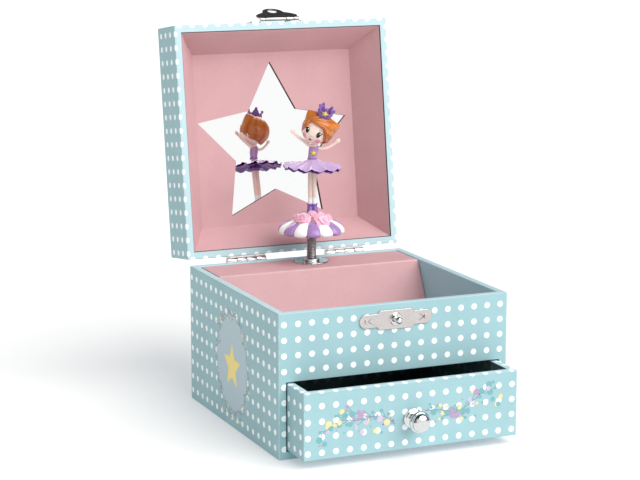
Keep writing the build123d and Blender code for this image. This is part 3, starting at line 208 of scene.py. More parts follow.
# ------------------------------------------------------------------ material builder
class Finish:
    """One node material: a principled shader and the nodes that feed it, measured in millimetres."""

    def __init__(self, name, ground, roughness, **fixed):
        self.material = bpy.data.materials.new(name)
        self.material.use_nodes = True
        self.tree = self.material.node_tree
        self.shader = self.tree.nodes["Principled BSDF"]
        self.shader.inputs["Base Color"].default_value = tuple(ground)
        self.shader.inputs["Roughness"].default_value = roughness
        for label, value in fixed.items():
            self.shader.inputs[label.replace("_", " ")].default_value = value
        self.material.diffuse_color = tuple(ground)

    def node(self, kind, *values, **settings):
        """A node with its settings, and its inputs fed in order; None leaves one alone."""
        made = self.tree.nodes.new("ShaderNode" + kind)
        for label, value in settings.items():
            setattr(made, label, value)
        for socket, value in zip(made.inputs, values):
            self.feed(socket, value)
        return made

    def feed(self, socket, value):
        if isinstance(value, bpy.types.NodeSocket):
            self.tree.links.new(value, socket)
        elif value is not None:
            socket.default_value = value

    def math(self, operation, *values):
        return self.node("Math", *values, operation=operation).outputs[0]

    def spot(self, place=None):
        """The surface point in millimetres, in the row frame or along another frame's axes."""
        raw = self.node("TexCoord").outputs["Object"]
        scaled = self.node("VectorMath", raw, operation="SCALE")
        scaled.inputs["Scale"].default_value = 1 / MM
        if place is None:
            return scaled.outputs[0]
        moved = self.node("Mapping", scaled.outputs[0], vector_type="TEXTURE")
        moved.inputs["Location"].default_value = place.to_translation()
        moved.inputs["Rotation"].default_value = place.to_euler()
        return moved.outputs[0]

    def axes(self, vector):
        return self.node("SeparateXYZ", vector).outputs[:3]

    def ramp(self, value, low, high, out_low=0.0, out_high=1.0):
        return self.node("MapRange", value, low, high, out_low, out_high,
                         interpolation_type="SMOOTHSTEP").outputs[0]

    def noise(self, vector, scale, detail=3.0, distortion=0.0):
        made = self.node("TexNoise", vector)
        made.inputs["Scale"].default_value = scale
        made.inputs["Detail"].default_value = detail
        made.inputs["Distortion"].default_value = distortion
        return made.outputs[0]

    def mix(self, share, first, second):
        """A colour between two others."""
        made = self.node("Mix", data_type="RGBA")
        self.feed(made.inputs[0], share)
        self.feed(made.inputs[6], first)
        self.feed(made.inputs[7], second)
        return made.outputs[2]

    def tint(self, ground, amount, share):
        """A colour made a little darker and lighter by a value from 0 to 1."""
        made = self.node("HueSaturation")
        self.feed(made.inputs["Value"], self.ramp(share, 0.0, 1.0, 1 - amount, 1 + amount))
        self.feed(made.inputs["Color"], ground)
        return made.outputs[0]

    def bump(self, height, depth, strength=1.0):
        made = self.node("Bump")
        made.inputs["Strength"].default_value = strength
        made.inputs["Distance"].default_value = depth * MM
        self.feed(made.inputs["Height"], height)
        self.tree.links.new(made.outputs[0], self.shader.inputs["Normal"])

    def colour(self, value):
        self.feed(self.shader.inputs["Base Color"], value)

    def roughness(self, value):
        self.feed(self.shader.inputs["Roughness"], value)

    def off_line(self, value, phase, pitch):
        """Distance from the nearest of the evenly spaced lines phase + k * pitch."""
        steps = self.math("DIVIDE", self.math("SUBTRACT", value, phase), pitch)
        share = self.math("FRACT", self.math("ADD", steps, 0.5))
        return self.math("MULTIPLY", self.math("SUBTRACT", share, 0.5), pitch)

    def near(self, a, b, c, reach, soft):
        """1 where the point (a, b, c) lies within reach of the origin."""
        away = self.node("VectorMath", self.node("CombineXYZ", a, b, c).outputs[0], operation="LENGTH")
        return self.ramp(away.outputs["Value"], reach + soft, reach - soft)


finishes = {}


def finish(name):
    """A finish by name, made the first time that it is asked for."""
    if name not in finishes:
        finishes[name] = FINISH_MAKERS[name](name).material
    return finishes[name]


# ------------------------------------------------------------------ paper
DOT_SOFT = 0.07
FIBRE = (1.6, 5.0, 0.4)
# share of wear on the corners and the mitres, and of painted light on the rim
WEAR_AND_LIGHT_SHARE = 0.35
RUBBED = (0.83, 0.9, 0.91, 1.0)
# paler colour of the rim's top: painted light, with wear along its edge
RIM_PAINTED_LIGHT = (0.74, 0.86, 0.89, 1.0)
MITRE_EDGE = (0.66, 0.86, 0.88, 1.0)
# how far the drawer's painted shade covers its folded paper, the dots showing faintly through
FOLD_COVER = 0.85
# a column of dots on the front, a column on the sides, a row, and the distance between rows
BODY_DOTS = (-71.54, -69.7, 81.2, 9.35)
LID_DOTS = (-71.54, LID_SIDE_LOW.y + 5.5, LID_SIDE_LOW.z, 9.0)
DRAWER_DOTS = (-66.9, DRAWER_LOW.y + 5.0, 37.5, 9.3)
COVER_CREASE_Y = 38.1


def dotted_paper(name, rim, centre_y, half_w, half_d, lattice, place=None, folded_over=False, top=None,
                 inside="#A6D3DC"):
    """Paper with white dots, wrapped round a shell whose walls stand about (0, centre_y)."""
    front_column, side_column, row, row_pitch = lattice
    look = bpy.context.scene.box_paper
    paper = Finish(name, look.ground, 0.5, Specular_IOR_Level=0.35)
    spot = paper.spot(place)
    x, y, z = paper.axes(spot)
    from_side = paper.math("SUBTRACT", half_w, paper.math("ABSOLUTE", x))
    from_end = paper.math("SUBTRACT", half_d, paper.math("ABSOLUTE", paper.math("SUBTRACT", y, centre_y)))
    depth = paper.math("MINIMUM", from_side, from_end)
    on_end = paper.math("LESS_THAN", from_end, from_side)
    across_x = paper.off_line(x, front_column, look.pitch)
    across_y = paper.off_line(y, side_column, look.pitch)
    across = paper.math("ADD", paper.math("MULTIPLY", across_x, on_end),
                        paper.math("MULTIPLY", across_y, paper.math("SUBTRACT", 1.0, on_end)))
    ragged = paper.math("MULTIPLY", paper.math("SUBTRACT", paper.noise(spot, 2.2), 0.5), 0.16)
    reach = paper.math("ADD", across, ragged)
    if folded_over:
        up = paper.off_line(paper.math("ADD", z, depth), row, row_pitch)
        dots = paper.near(reach, up, 0.0, look.dot_radius, DOT_SOFT)
    else:
        up = paper.off_line(z, row, row_pitch)
        dots = paper.near(reach, up, depth, look.dot_radius, DOT_SOFT)
    if top is not None:
        from_top = paper.math("SUBTRACT", top, z)
        on_top = paper.near(across_x, across_y, from_top, look.dot_radius, DOT_SOFT)
        dots = paper.math("MAXIMUM", dots, on_top)
    fibre = paper.noise(spot, *FIBRE)
    cloud = paper.noise(spot, 0.035, 2.0)
    ground = paper.tint(tuple(look.ground), 0.035, fibre)
    ground = paper.tint(ground, 0.05, cloud)
    # the rim's top and its rounded edges made paler: painted light on the upward faces, and wear along the
    # edge
    on_rim = paper.ramp(paper.math("ABSOLUTE", paper.math("SUBTRACT", z, rim)), 0.3, 0.1)
    corner = paper.ramp(paper.math("MAXIMUM", from_side, from_end), 1.1, 0.1)
    rubbed = paper.math("MULTIPLY", corner, paper.ramp(paper.noise(spot, 0.35, 4.0), 0.45, 0.7))
    ground = paper.mix(paper.math("MULTIPLY", rubbed, WEAR_AND_LIGHT_SHARE), ground, RUBBED)
    ground = paper.mix(paper.math("MULTIPLY", on_rim, WEAR_AND_LIGHT_SHARE), ground, RIM_PAINTED_LIGHT)
    # the mitre where the paper of two walls meets on the rim
    apart = paper.math("ABSOLUTE", paper.math("SUBTRACT", from_side, from_end))
    mitre = paper.ramp(apart, 0.32, 0.1)
    ground = paper.mix(paper.math("MULTIPLY", mitre, WEAR_AND_LIGHT_SHARE), ground, MITRE_EDGE)
    # the inner faces take the inside colour: plain paper in the box; in the lid and the drawer it is
    # painted shade
    within = paper.ramp(depth, WALL - 0.5, WALL - 0.1)
    if top is not None:
        within = paper.math("MULTIPLY", within, paper.ramp(from_top, 0.4, 0.8))
    printed = paper.mix(dots, ground, tuple(look.dot))
    if folded_over:
        within = paper.math("MULTIPLY", within, FOLD_COVER)
    printed = paper.mix(within, printed, paint(inside))
    paper.colour(printed)
    paper.roughness(paper.ramp(fibre, 0.3, 0.7, 0.44, 0.6))
    paper.bump(paper.math("SUBTRACT", paper.math("ADD", fibre, paper.math("MULTIPLY", dots, 0.3)),
                          paper.math("MULTIPLY", mitre, 1.5)), 0.05, 0.5)
    return paper


def body_paper(name):
    return dotted_paper(name, BODY_H, 0.0, HALF_W, HALF_D, BODY_DOTS)


def lid_paper(name):
    # near-black inside colour on the lid's inner walls: painted shadow in the gap above the liner
    return dotted_paper(name, LID_SIDE_LOW.z, LID_CENTRE_Y, HALF_W, HALF_D, LID_DOTS, place=LID,
                        top=LID_TOP_HIGH.z, inside="#3C4043")


def drawer_paper(name):
    # dark inside colour in the drawer: painted shade
    return dotted_paper(name, DRAWER_HIGH.z, (DRAWER_LOW.y + DRAWER_BACK) / 2, DRAWER_HIGH.x,
                        (DRAWER_BACK - DRAWER_LOW.y) / 2, DRAWER_DOTS, folded_over=True, inside="#2C3C40")


def tray_paper(name):
    """Paper on the drawer's floor and the underside of the box."""
    look = bpy.context.scene.box_paper
    paper = Finish(name, look.ground, 0.55, Specular_IOR_Level=0.3)
    spot = paper.spot()
    x, y = paper.axes(spot)[:2]
    across = paper.off_line(x, DRAWER_DOTS[0], look.pitch)
    along = paper.off_line(y, 0.0, look.pitch)
    dots = paper.near(across, along, 0.0, look.dot_radius, DOT_SOFT)
    fibre = paper.noise(spot, *FIBRE)
    paper.colour(paper.mix(dots, paper.tint(tuple(look.ground), 0.06, fibre), tuple(look.dot)))
    paper.bump(fibre, 0.05, 0.5)
    return paper


def plain_board(name):
    """Grey millboard with flecks."""
    ground = tuple(bpy.context.scene.box_card.board)
    board = Finish(name, ground, 0.85)
    flecks = board.noise(board.spot(), 0.9, 8.0, 1.2)
    board.colour(board.tint(ground, 0.22, flecks))
    board.bump(flecks, 0.12, 0.6)
    return board


# ------------------------------------------------------------------ card, felt and mirror
def card(name, crease_y=None):
    """Soft pink card with a fine mottle, paler along a crease."""
    ground = tuple(bpy.context.scene.box_card.card)
    pulp = Finish(name, ground, 0.72, Specular_IOR_Level=0.25)
    spot = pulp.spot()
    mottle = pulp.noise(spot, 0.75, 6.0, 0.3)
    cloud = pulp.noise(spot, 0.05, 2.0)
    shade = pulp.tint(pulp.tint(ground, 0.05, mottle), 0.05, cloud)
    if crease_y is not None:
        y = pulp.axes(spot)[1]
        crease = pulp.ramp(pulp.math("ABSOLUTE", pulp.math("SUBTRACT", y, crease_y)), 1.1, 0.2)
        rubbed = pulp.math("MULTIPLY", crease, pulp.ramp(pulp.noise(spot, 0.2), 0.25, 0.7, 0.35, 0.9))
        shade = pulp.mix(pulp.math("MULTIPLY", rubbed, 0.5), shade, paint("#F3D3D4"))
    pulp.colour(shade)
    pulp.roughness(pulp.ramp(mottle, 0.3, 0.7, 0.62, 0.8))
    pulp.bump(mottle, 0.07, 0.55)
    return pulp


def cover_card(name):
    return card(name, crease_y=COVER_CREASE_Y)


def star_card(name):
    """The card in front of the mirror, with the dark edge that its cut-out shows."""
    pulp = card(name)
    base = pulp.shader.inputs["Base Color"].links[0].from_socket
    height = pulp.axes(pulp.spot(LID))[2]
    low, high = corners_in("mirror_card", LID)
    cut = pulp.math("MULTIPLY", pulp.ramp(height, low.z + 0.12, low.z + 0.3),
                    pulp.ramp(height, high.z + 0.2, high.z - 0.05))
    pulp.colour(pulp.mix(cut, base, paint("#3E3A3C")))
    return pulp


def felt(name):
    """Short pink felt on the compartment floor."""
    ground = tuple(bpy.context.scene.box_card.felt)
    cloth = Finish(name, ground, 0.95, Sheen_Weight=0.5, Sheen_Roughness=0.5, Specular_IOR_Level=0.1)
    spot = cloth.spot()
    fuzz = cloth.noise(spot, 3.2, 8.0, 2.0)
    tufts = cloth.noise(spot, 0.45, 3.0)
    cloth.colour(cloth.tint(cloth.tint(ground, 0.16, fuzz), 0.06, tufts))
    cloth.bump(cloth.math("ADD", fuzz, tufts), 0.25, 0.8)
    return cloth


def mirror(name):
    """Silvered glass, with the faint unevenness of a thin mirror."""
    silver = Finish(name, (0.96, 0.965, 0.96, 1.0), 0.015, Metallic=1.0)
    spot = silver.spot()
    ripple = silver.noise(spot, 0.03, 1.0)
    haze = silver.noise(spot, 0.4, 4.0)
    silver.colour(silver.tint((0.955, 0.962, 0.96, 1.0), 0.01, haze))
    silver.roughness(silver.ramp(haze, 0.5, 0.9, 0.01, 0.03))
    silver.bump(ripple, 0.02, 0.1)
    return silver


# ------------------------------------------------------------------ metals
def metal(name, ground, smooth, rough, grain, relief):
    """Metal with hairline wear: its roughness and a shallow relief follow the same grain."""
    plate = Finish(name, ground, rough, Metallic=1.0)
    spot = plate.spot()
    wear = plate.noise(spot, grain, 6.0, 0.8)
    smudge = plate.noise(spot, 0.16, 2.0)
    uneven = plate.math("MULTIPLY", wear, plate.math("ADD", smudge, 0.5))
    plate.colour(plate.tint(tuple(ground), 0.08, uneven))
    plate.roughness(plate.ramp(smudge, 0.3, 0.7, smooth, rough))
    plate.bump(wear, relief, 0.4)
    return plate


def box_metal(field, *grain):
    """A metal whose colour is one of the settings."""
    return lambda name: metal(name, getattr(bpy.context.scene.box_metal, field), *grain)


def spring_steel(name):
    """Dark oiled spring wire."""
    return metal(name, paint("#B4B2AE"), 0.2, 0.32, 1.6, 0.02)


# ------------------------------------------------------------------ painted resin
def resin(name, ground, gloss, mottle, deep=None):
    """Hand-painted resin: brush mottle, a satin coat, and a second colour mixed in by the hollow attribute:
    painted shade in the hair's grooves and the tutu's fold troughs, and paler lips on the rose petals.
    """
    coat = Finish(name, ground, gloss, Specular_IOR_Level=0.5, Coat_Weight=0.25, Coat_Roughness=0.2,
                  Subsurface_Weight=0.06, Subsurface_Scale=0.002)
    spot = coat.spot()
    brush = coat.noise(spot, 0.55, 4.0, 0.8)
    shade = coat.tint(tuple(ground), mottle, brush)
    if deep is not None:
        # share of the second colour: painted shade on the hair and the tutu, paler petal lips on the roses
        grooves = coat.node("Attribute", attribute_name="hollow").outputs["Fac"]
        shade = coat.mix(grooves, shade, deep)
    coat.colour(shade)
    coat.roughness(coat.ramp(brush, 0.3, 0.7, gloss - 0.05, gloss + 0.08))
    coat.bump(coat.noise(spot, 1.3, 3.0), 0.06, 0.35)
    return coat


def face_skin(name):
    """Skin with two soft painted cheeks."""
    look = bpy.context.scene.box_dancer
    coat = resin(name, look.skin, 0.38, 0.02)
    base = coat.shader.inputs["Base Color"].links[0].from_socket
    for side in (-1, 1):
        cheek = FACE @ Vector((side * CHEEK_X, -CHEEK_OUT, CHEEK_Z))
        away = coat.node("VectorMath", coat.spot(), tuple(cheek), operation="DISTANCE").outputs["Value"]
        base = coat.mix(coat.ramp(away, 2.7, 1.2, 0.0, 0.85), base, tuple(look.blush))
    coat.colour(base)
    return coat


def dancer_colour(field, gloss, mottle, groove=None):
    """Resin in one of the dancer's colours; where the hollow attribute is high it takes another of them or
    a printed colour: painted shade on the hair and the tutu, paler petal lips on the roses.
    """
    def make(name):
        look = bpy.context.scene.box_dancer
        deep = None
        if groove is not None:
            deep = paint(groove) if groove.startswith("#") else tuple(getattr(look, groove))
        return resin(name, getattr(look, field), gloss, mottle, deep)
    return make


def ink(field):
    """Printing ink on paper, a little glossier than the paper."""
    def make(name):
        ground = tuple(getattr(bpy.context.scene.box_print, field))
        film = Finish(name, ground, 0.45, Specular_IOR_Level=0.35)
        spot = film.spot()
        grain = film.noise(spot, *FIBRE)
        film.colour(film.tint(ground, 0.05, grain))
        film.bump(grain, 0.04, 0.4)
        return film
    return make


def black_enamel(name):
    return resin(name, paint("#14141C"), 0.12, 0.02)


# white of the painted highlight in the eyes
def white_enamel(name):
    return resin(name, paint("#FDFDFD"), 0.15, 0.01)


FINISH_MAKERS = {
    "body_paper": body_paper,
    "lid_paper": lid_paper,
    "drawer_paper": drawer_paper,
    "tray_paper": tray_paper,
    "plain_board": plain_board,
    "card": card,
    "cover_card": cover_card,
    "star_card": star_card,
    "felt": felt,
    "mirror": mirror,
    "nickel": box_metal("nickel", 0.2, 0.32, 0.8, 0.012),
    "chrome": box_metal("chrome", 0.06, 0.13, 0.6, 0.01),
    "brass": box_metal("brass", 0.22, 0.38, 1.1, 0.03),
    "steel": box_metal("steel", 0.24, 0.4, 1.6, 0.03),
    "spring_steel": spring_steel,
    "skin": dancer_colour("skin", 0.4, 0.02),
    "face_skin": face_skin,
    # the hair takes painted shade in its grooves and low down
    "hair": dancer_colour("hair", 0.34, 0.1, "hair_painted_shade"),
    "petals": dancer_colour("rose", 0.36, 0.05, "#FBDCE6"),
    # the tutu's fold troughs take a deeper lavender: painted shade
    "skirt": dancer_colour("skirt", 0.36, 0.05, "#A67FBF"),
    "skirt_under": dancer_colour("skirt_under", 0.36, 0.12),
    "bodice": dancer_colour("bodice", 0.34, 0.05),
    "crown": dancer_colour("crown", 0.3, 0.08),
    "candy": dancer_colour("candy", 0.26, 0.08),
    "ivory": dancer_colour("ivory", 0.26, 0.015),
    "gold_paint": dancer_colour("gold", 0.3, 0.05),
    "lips": dancer_colour("lips", 0.2, 0.04),
    "black_enamel": black_enamel,
    "white_enamel": white_enamel,
}
FINISH_MAKERS.update({"ink_" + field: ink(field)
                      for field in ("teal", "yellow", "mauve", "pale", "twig", "oval", "star")})


# ------------------------------------------------------------------ mesh builder
class Shape:
    """Points and faces of one piece, in millimetres, with the finish number of each face."""

    def __init__(self):
        self.points = []
        self.faces = []
        self.picks = []
        self.hollow = []

    def add(self, points, faces, pick=0, hollow=0.0):
        first = len(self.points)
        self.points += [Vector(p) for p in points]
        self.faces += [tuple(first + i for i in face) for face in faces]
        self.picks += [pick] * len(faces) if isinstance(pick, int) else list(pick)
        self.hollow += [hollow] * len(points) if isinstance(hollow, float) else list(hollow)

    def skin(self, rings, pick=0, hollow=0.0):
        """A closed skin over rings of equal count, its ends gathered to a point."""
        count = len(rings[0])
        points = [Vector(p) for ring in rings for p in ring]
        faces = []
        for row in range(len(rings) - 1):
            for i in range(count):
                low, next_low = row * count + i, row * count + (i + 1) % count
                faces.append((low, next_low, next_low + count, low + count))
        for row, ring in ((0, rings[0]), (len(rings) - 1, rings[-1])):
            points.append(sum((Vector(p) for p in ring), Vector()) / count)
            for i in range(count):
                faces.append((row * count + (i + 1) % count, row * count + i, len(points) - 1))
        if callable(pick):
            pick = [pick(sum((points[i] for i in face), Vector()) / len(face)) for face in faces]
        if callable(hollow):
            hollow = [hollow(p) for p in points]
        self.add(points, faces, pick, hollow)

    def slab(self, outline, low, high, place, pick=0):
        """A flat outline made into a thin closed slab along the z of a frame."""
        count = len(outline)
        points = [place @ Vector((u, v, h)) for h in (low, high) for u, v in outline]
        faces = [tuple(range(count - 1, -1, -1)), tuple(range(count, 2 * count))]
        faces += [(i, (i + 1) % count, count + (i + 1) % count, count + i) for i in range(count)]
        self.add(points, faces, pick)

    def tube(self, path, radius, sides, pick=0):
        """A round wire along a path."""
        self.skin(tube_rings(path, [(radius, radius)] * len(path), sides), pick)


def turns(count, closed=False):
    """Even angles round a full turn; a closed round ends where it began."""
    return [2 * pi * i / count for i in range(count + closed)]


def tube_rings(path, halves, sides, side_hint=Vector((1, 0, 0))):
    """Elliptical rings square to a path, each with its half width and half depth."""
    rings = []
    for k, centre in enumerate(path):
        ahead = (path[min(k + 1, len(path) - 1)] - path[max(k - 1, 0)]).normalized()
        across = side_hint - ahead * side_hint.dot(ahead)
        if across.length < 0.2:
            across = Vector((0, 1, 0)) - ahead * ahead.y
        across.normalize()
        beyond = ahead.cross(across)
        side_hint = across
        half_w, half_d = halves[k]
        rings.append([centre + across * (half_w * cos(a)) + beyond * (half_d * sin(a))
                      for a in turns(sides)])
    return rings


def smooth_path(points, steps):
    """A smooth curve through points (any number of values each)."""
    full = [points[0]] + list(points) + [points[-1]]
    curve = []
    for k in range(1, len(full) - 2):
        p0, p1, p2, p3 = full[k - 1:k + 3]
        for s in range(steps):
            t = s / steps
            curve.append([0.5 * (2 * b + (c - a) * t + (2 * a - 5 * b + 4 * c - d) * t * t
                                 + (3 * b - a - 3 * c + d) * t ** 3) for a, b, c, d in zip(p0, p1, p2, p3)])
    curve.append(list(points[-1]))
    return curve


def ball_rings(radius_at, rows, sides):
    """Rings of a closed round form, from a function that gives its radius in each direction."""
    rings = []
    for row in range(rows + 1):
        tall = pi * (0.02 + 0.96 * row / rows)
        ring = []
        for turn in turns(sides):
            way = Vector((sin(tall) * cos(turn), sin(tall) * sin(turn), -cos(tall)))
            ring.append(way * radius_at(way))
        rings.append(ring)
    return rings


def ellipsoid_rings(centre, halves, rows, sides):
    """Rings of an ellipsoid."""
    return [[Vector(centre) + Vector((p.x * halves[0], p.y * halves[1], p.z * halves[2])) for p in ring]
            for ring in ball_rings(lambda way: 1.0, rows, sides)]


def placed(rings, place):
    return [[place @ Vector(p) for p in ring] for ring in rings]


def star_outline(outer, inner, turn=pi / 2):
    """A five-pointed star, its first point in the direction of turn."""
    corners_at = [((outer, inner)[k % 2], turn + k * pi / 5) for k in range(10)]
    return [(out * cos(at), out * sin(at)) for out, at in corners_at]


def limb(stations, steps, sides, side_hint=Vector((1, 0, 0))):
    """Rings of one limb of the dancer, from stations (x, y, z, half width, half depth)."""
    line = smooth_path(stations, steps)
    rings = tube_rings([Vector(p[:3]) for p in line], [(p[3], p[4]) for p in line], sides, side_hint)
    return placed(rings, FIGURE)


def make(name, shape, looks, body, slot, stands_for=(), smooth=True):
    """The object of a shape, with its finishes, riding on a body."""
    mesh = bpy.data.meshes.new(name)
    mesh.from_pydata([p * MM for p in shape.points], [], shape.faces)
    for look in looks:
        mesh.materials.append(finish(look))
    mesh.polygons.foreach_set("material_index", shape.picks)
    hollow = mesh.attributes.new("hollow", "FLOAT", "POINT")
    hollow.data.foreach_set("value", shape.hollow)
    tidy = bmesh.new()
    tidy.from_mesh(mesh)
    bmesh.ops.recalc_face_normals(tidy, faces=tidy.faces)
    tidy.to_mesh(mesh)
    tidy.free()
    mesh.polygons.foreach_set("use_smooth", [smooth] * len(mesh.polygons))
    piece = bpy.data.objects.new(name, mesh)
    bpy.context.scene.collection.objects.link(piece)
    if body is not None:
        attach(piece, body)
    if stands_for:
        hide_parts(*stands_for)
    return piece


def bevel(piece, width, segments, angle=30.0):
    """Rounded edges, with the flats kept flat in the shading."""
    edge = piece.modifiers.new("edges", "BEVEL")
    edge.width = width * MM
    edge.segments = segments
    edge.limit_method = "ANGLE"
    edge.angle_limit = radians(angle)
    edge.harden_normals = True
    edge.use_clamp_overlap = True


WELD_REACH = 0.001
DRESS_ANGLE = 35.0


def dress(node, look, width=0.0):
    """A carried-over CAD node: its finish, and a fine rounding of its edges."""
    piece = frame["nodes"][node]
    piece.data.materials.clear()
    piece.data.materials.append(finish(look))
    piece.data.polygons.foreach_set("material_index", [0] * len(piece.data.polygons))
    if width:
        weld = piece.modifiers.new("weld", "WELD")
        weld.merge_threshold = WELD_REACH * MM
        bevel(piece, width, 2, DRESS_ANGLE)


def shell(xs, ys, zs, solid, place=Matrix.Identity(4)):
    """A shape of square cells: the outer skin of those for which solid(i, j, k) is true."""
    shape = Shape()
    filled = {(i, j, k) for i in range(len(xs) - 1) for j in range(len(ys) - 1) for k in range(len(zs) - 1)
              if solid(i, j, k)}
    numbers = {}
    points = []
    faces = []

    def corner(i, j, k):
        if (i, j, k) not in numbers:
            numbers[(i, j, k)] = len(points)
            points.append(place @ Vector((xs[i], ys[j], zs[k])))
        return numbers[(i, j, k)]

    walls = {
        (1, 0, 0): [(1, 0, 0), (1, 1, 0), (1, 1, 1), (1, 0, 1)],
        (-1, 0, 0): [(0, 0, 0), (0, 0, 1), (0, 1, 1), (0, 1, 0)],
        (0, 1, 0): [(0, 1, 0), (0, 1, 1), (1, 1, 1), (1, 1, 0)],
        (0, -1, 0): [(0, 0, 0), (1, 0, 0), (1, 0, 1), (0, 0, 1)],
        (0, 0, 1): [(0, 0, 1), (1, 0, 1), (1, 1, 1), (0, 1, 1)],
        (0, 0, -1): [(0, 0, 0), (0, 1, 0), (1, 1, 0), (1, 0, 0)],
    }
    for i, j, k in sorted(filled):
        for (di, dj, dk), quad in walls.items():
            if (i + di, j + dj, k + dk) not in filled:
                faces.append(tuple(corner(i + a, j + b, k + c) for a, b, c in quad))
    shape.add(points, faces)
    return shape


# ------------------------------------------------------------------ operators
class BOX_OT_stage(bpy.types.Operator):
    """Floor, lights and camera"""
    bl_idname = "box.stage"
    bl_label = "Stage"
    bl_options = {"REGISTER", "UNDO"}
    FLOOR_GLOW = 0.26
    FLOOR_TINT = (0.92, 0.97, 1.08, 1.0)
    TOWARDS_KEY = (0.42, -0.74, 0.78)
    KEY_SPREAD = radians(62)
    FLOOR_REACH = 12.0
    CAMERA_AT = (-0.50369, -1.1291, 0.35191)
    CAMERA_AHEAD = (0.389, 0.901, -0.190)
    SENSOR_WIDTH = 36.0
    CLIP = (0.01, 60.0)

    def execute(self, context):
        scene = context.scene
        look = scene.box_stage
        mesh = bpy.data.meshes.new("studio_floor")
        reach = self.FLOOR_REACH
        square = [(-reach, -reach, 0), (reach, -reach, 0), (reach, reach, 0), (-reach, reach, 0)]
        mesh.from_pydata(square, [], [(0, 1, 2, 3)])
        floor = bpy.data.objects.new("studio_floor", mesh)
        scene.collection.objects.link(floor)
        sheet = Finish("studio_floor", look.floor, 0.9, Specular_IOR_Level=0.0)
        sheet.colour(sheet.tint(tuple(look.floor), 0.004, sheet.noise(sheet.spot(), 0.01)))
        sheet.shader.inputs["Emission Color"].default_value = self.FLOOR_TINT
        sheet.shader.inputs["Emission Strength"].default_value = self.FLOOR_GLOW
        mesh.materials.append(sheet.material)
        self.surround(scene, look)
        self.key_light(scene, look.key)
        lens = bpy.data.cameras.new("camera")
        lens.lens = look.focal
        lens.sensor_width = self.SENSOR_WIDTH
        lens.clip_start, lens.clip_end = self.CLIP
        camera = bpy.data.objects.new("camera", lens)
        scene.collection.objects.link(camera)
        camera.location = self.CAMERA_AT
        camera.rotation_euler = Vector(self.CAMERA_AHEAD).to_track_quat("-Z", "Y").to_euler()
        scene.camera = camera
        scene.view_settings.view_transform = "Standard"
        scene.view_settings.look = "None"
        return {"FINISHED"}

    def surround(self, scene, look):
        """A white surround; metal and mirror see it white in front and dark behind and overhead."""
        world = bpy.data.worlds.new("white_surround")
        world.use_nodes = True
        nodes = world.node_tree.nodes
        links = world.node_tree.links

        def ranged(value, low, high, out_low, out_high):
            made = nodes.new("ShaderNodeMapRange")
            made.interpolation_type = "SMOOTHSTEP"
            links.new(value, made.inputs["Value"])
            for socket, amount in zip(list(made.inputs)[1:5], (low, high, out_low, out_high)):
                socket.default_value = amount
            return made.outputs[0]

        def combined(operation, first, second):
            made = nodes.new("ShaderNodeMath")
            made.operation = operation
            for socket, value in zip(made.inputs, (first, second)):
                if isinstance(value, bpy.types.NodeSocket):
                    links.new(value, socket)
                else:
                    socket.default_value = value
            return made.outputs[0]

        ways = nodes.new("ShaderNodeSeparateXYZ")
        links.new(nodes.new("ShaderNodeTexCoord").outputs["Generated"], ways.inputs[0])
        x, y, z = ways.outputs
        behind = ranged(y, -0.25, 0.15, 1.0, 0.05)
        above = ranged(z, 0.5, 0.8, 1.0, 0.12)
        beside = ranged(combined("ABSOLUTE", x, 0.0), 0.62, 0.8, 1.0, 0.3)
        seen_by_metal = combined("MULTIPLY", combined("MULTIPLY", behind, above), beside)
        rays = nodes.new("ShaderNodeLightPath")
        metal_part = combined("MULTIPLY", rays.outputs["Is Glossy Ray"], seen_by_metal)
        rest = combined("SUBTRACT", 1.0, rays.outputs["Is Glossy Ray"])
        soft = combined("MULTIPLY", rest, look.ambient)
        strength = combined("MAXIMUM", combined("ADD", metal_part, soft), rays.outputs["Is Camera Ray"])
        ground = nodes["Background"]
        ground.inputs["Color"].default_value = (1.0, 1.0, 1.0, 1.0)
        links.new(strength, ground.inputs["Strength"])
        scene.world = world

    def key_light(self, scene, strength):
        """One broad light from in front, above and a little to the right."""
        light = bpy.data.lights.new("key_light", "SUN")
        light.energy = strength
        light.angle = self.KEY_SPREAD
        lamp = bpy.data.objects.new("key_light", light)
        scene.collection.objects.link(lamp)
        lamp.rotation_euler = Vector(self.TOWARDS_KEY).to_track_quat("Z", "Y").to_euler()


EDGE = 0.55
DRAWER_EDGE = 0.5


def wall_planes(half):
    """The four planes of a pair of facing walls, along one axis."""
    return [-half, -half + WALL, half - WALL, half]


class BOX_OT_body(bpy.types.Operator):
    """Paper-covered walls of the box, wrapped round all four corners, with the drawer's opening"""
    bl_idname = "box.body"
    bl_label = "Box walls"
    bl_options = {"REGISTER", "UNDO"}

    def execute(self, context):
        xs, ys = wall_planes(HALF_W), wall_planes(HALF_D)
        zs = [0.0, SILL_H, OPENING_TOP, BODY_H]
        walls = shell(xs, ys, zs, lambda i, j, k: (i != 1 or j != 1) and (i, j, k) != (1, 0, 1))
        box = make("box_walls", walls, ["body_paper"], "box", "dotted_paper_board",
                   ["front_panel", "left_wall", "right_wall", "back_wall"])
        bevel(box, EDGE, 4)
        dress("bottom_board", "tray_paper")
        dress("divider_board", "plain_board")
        return {"FINISHED"}


class BOX_OT_lid(bpy.types.Operator):
    """Paper-covered lid shell, wrapped round all its corners"""
    bl_idname = "box.lid"
    bl_label = "Lid shell"
    bl_options = {"REGISTER", "UNDO"}

    def execute(self, context):
        xs = wall_planes(HALF_W)
        ys = [LID_SIDE_LOW.y, LID_SIDE_LOW.y + WALL, LID_SIDE_HIGH.y - WALL, LID_SIDE_HIGH.y]
        zs = [LID_SIDE_LOW.z, LID_TOP_LOW.z, LID_TOP_HIGH.z]
        boards = shell(xs, ys, zs, lambda i, j, k: k == 1 or i != 1 or j != 1, LID)
        lid = make("lid_shell", boards, ["lid_paper"], "lid", "dotted_paper_board",
                   ["lid_front", "lid_back", "lid_left", "lid_right", "lid_top"])
        bevel(lid, EDGE, 4)
        return {"FINISHED"}


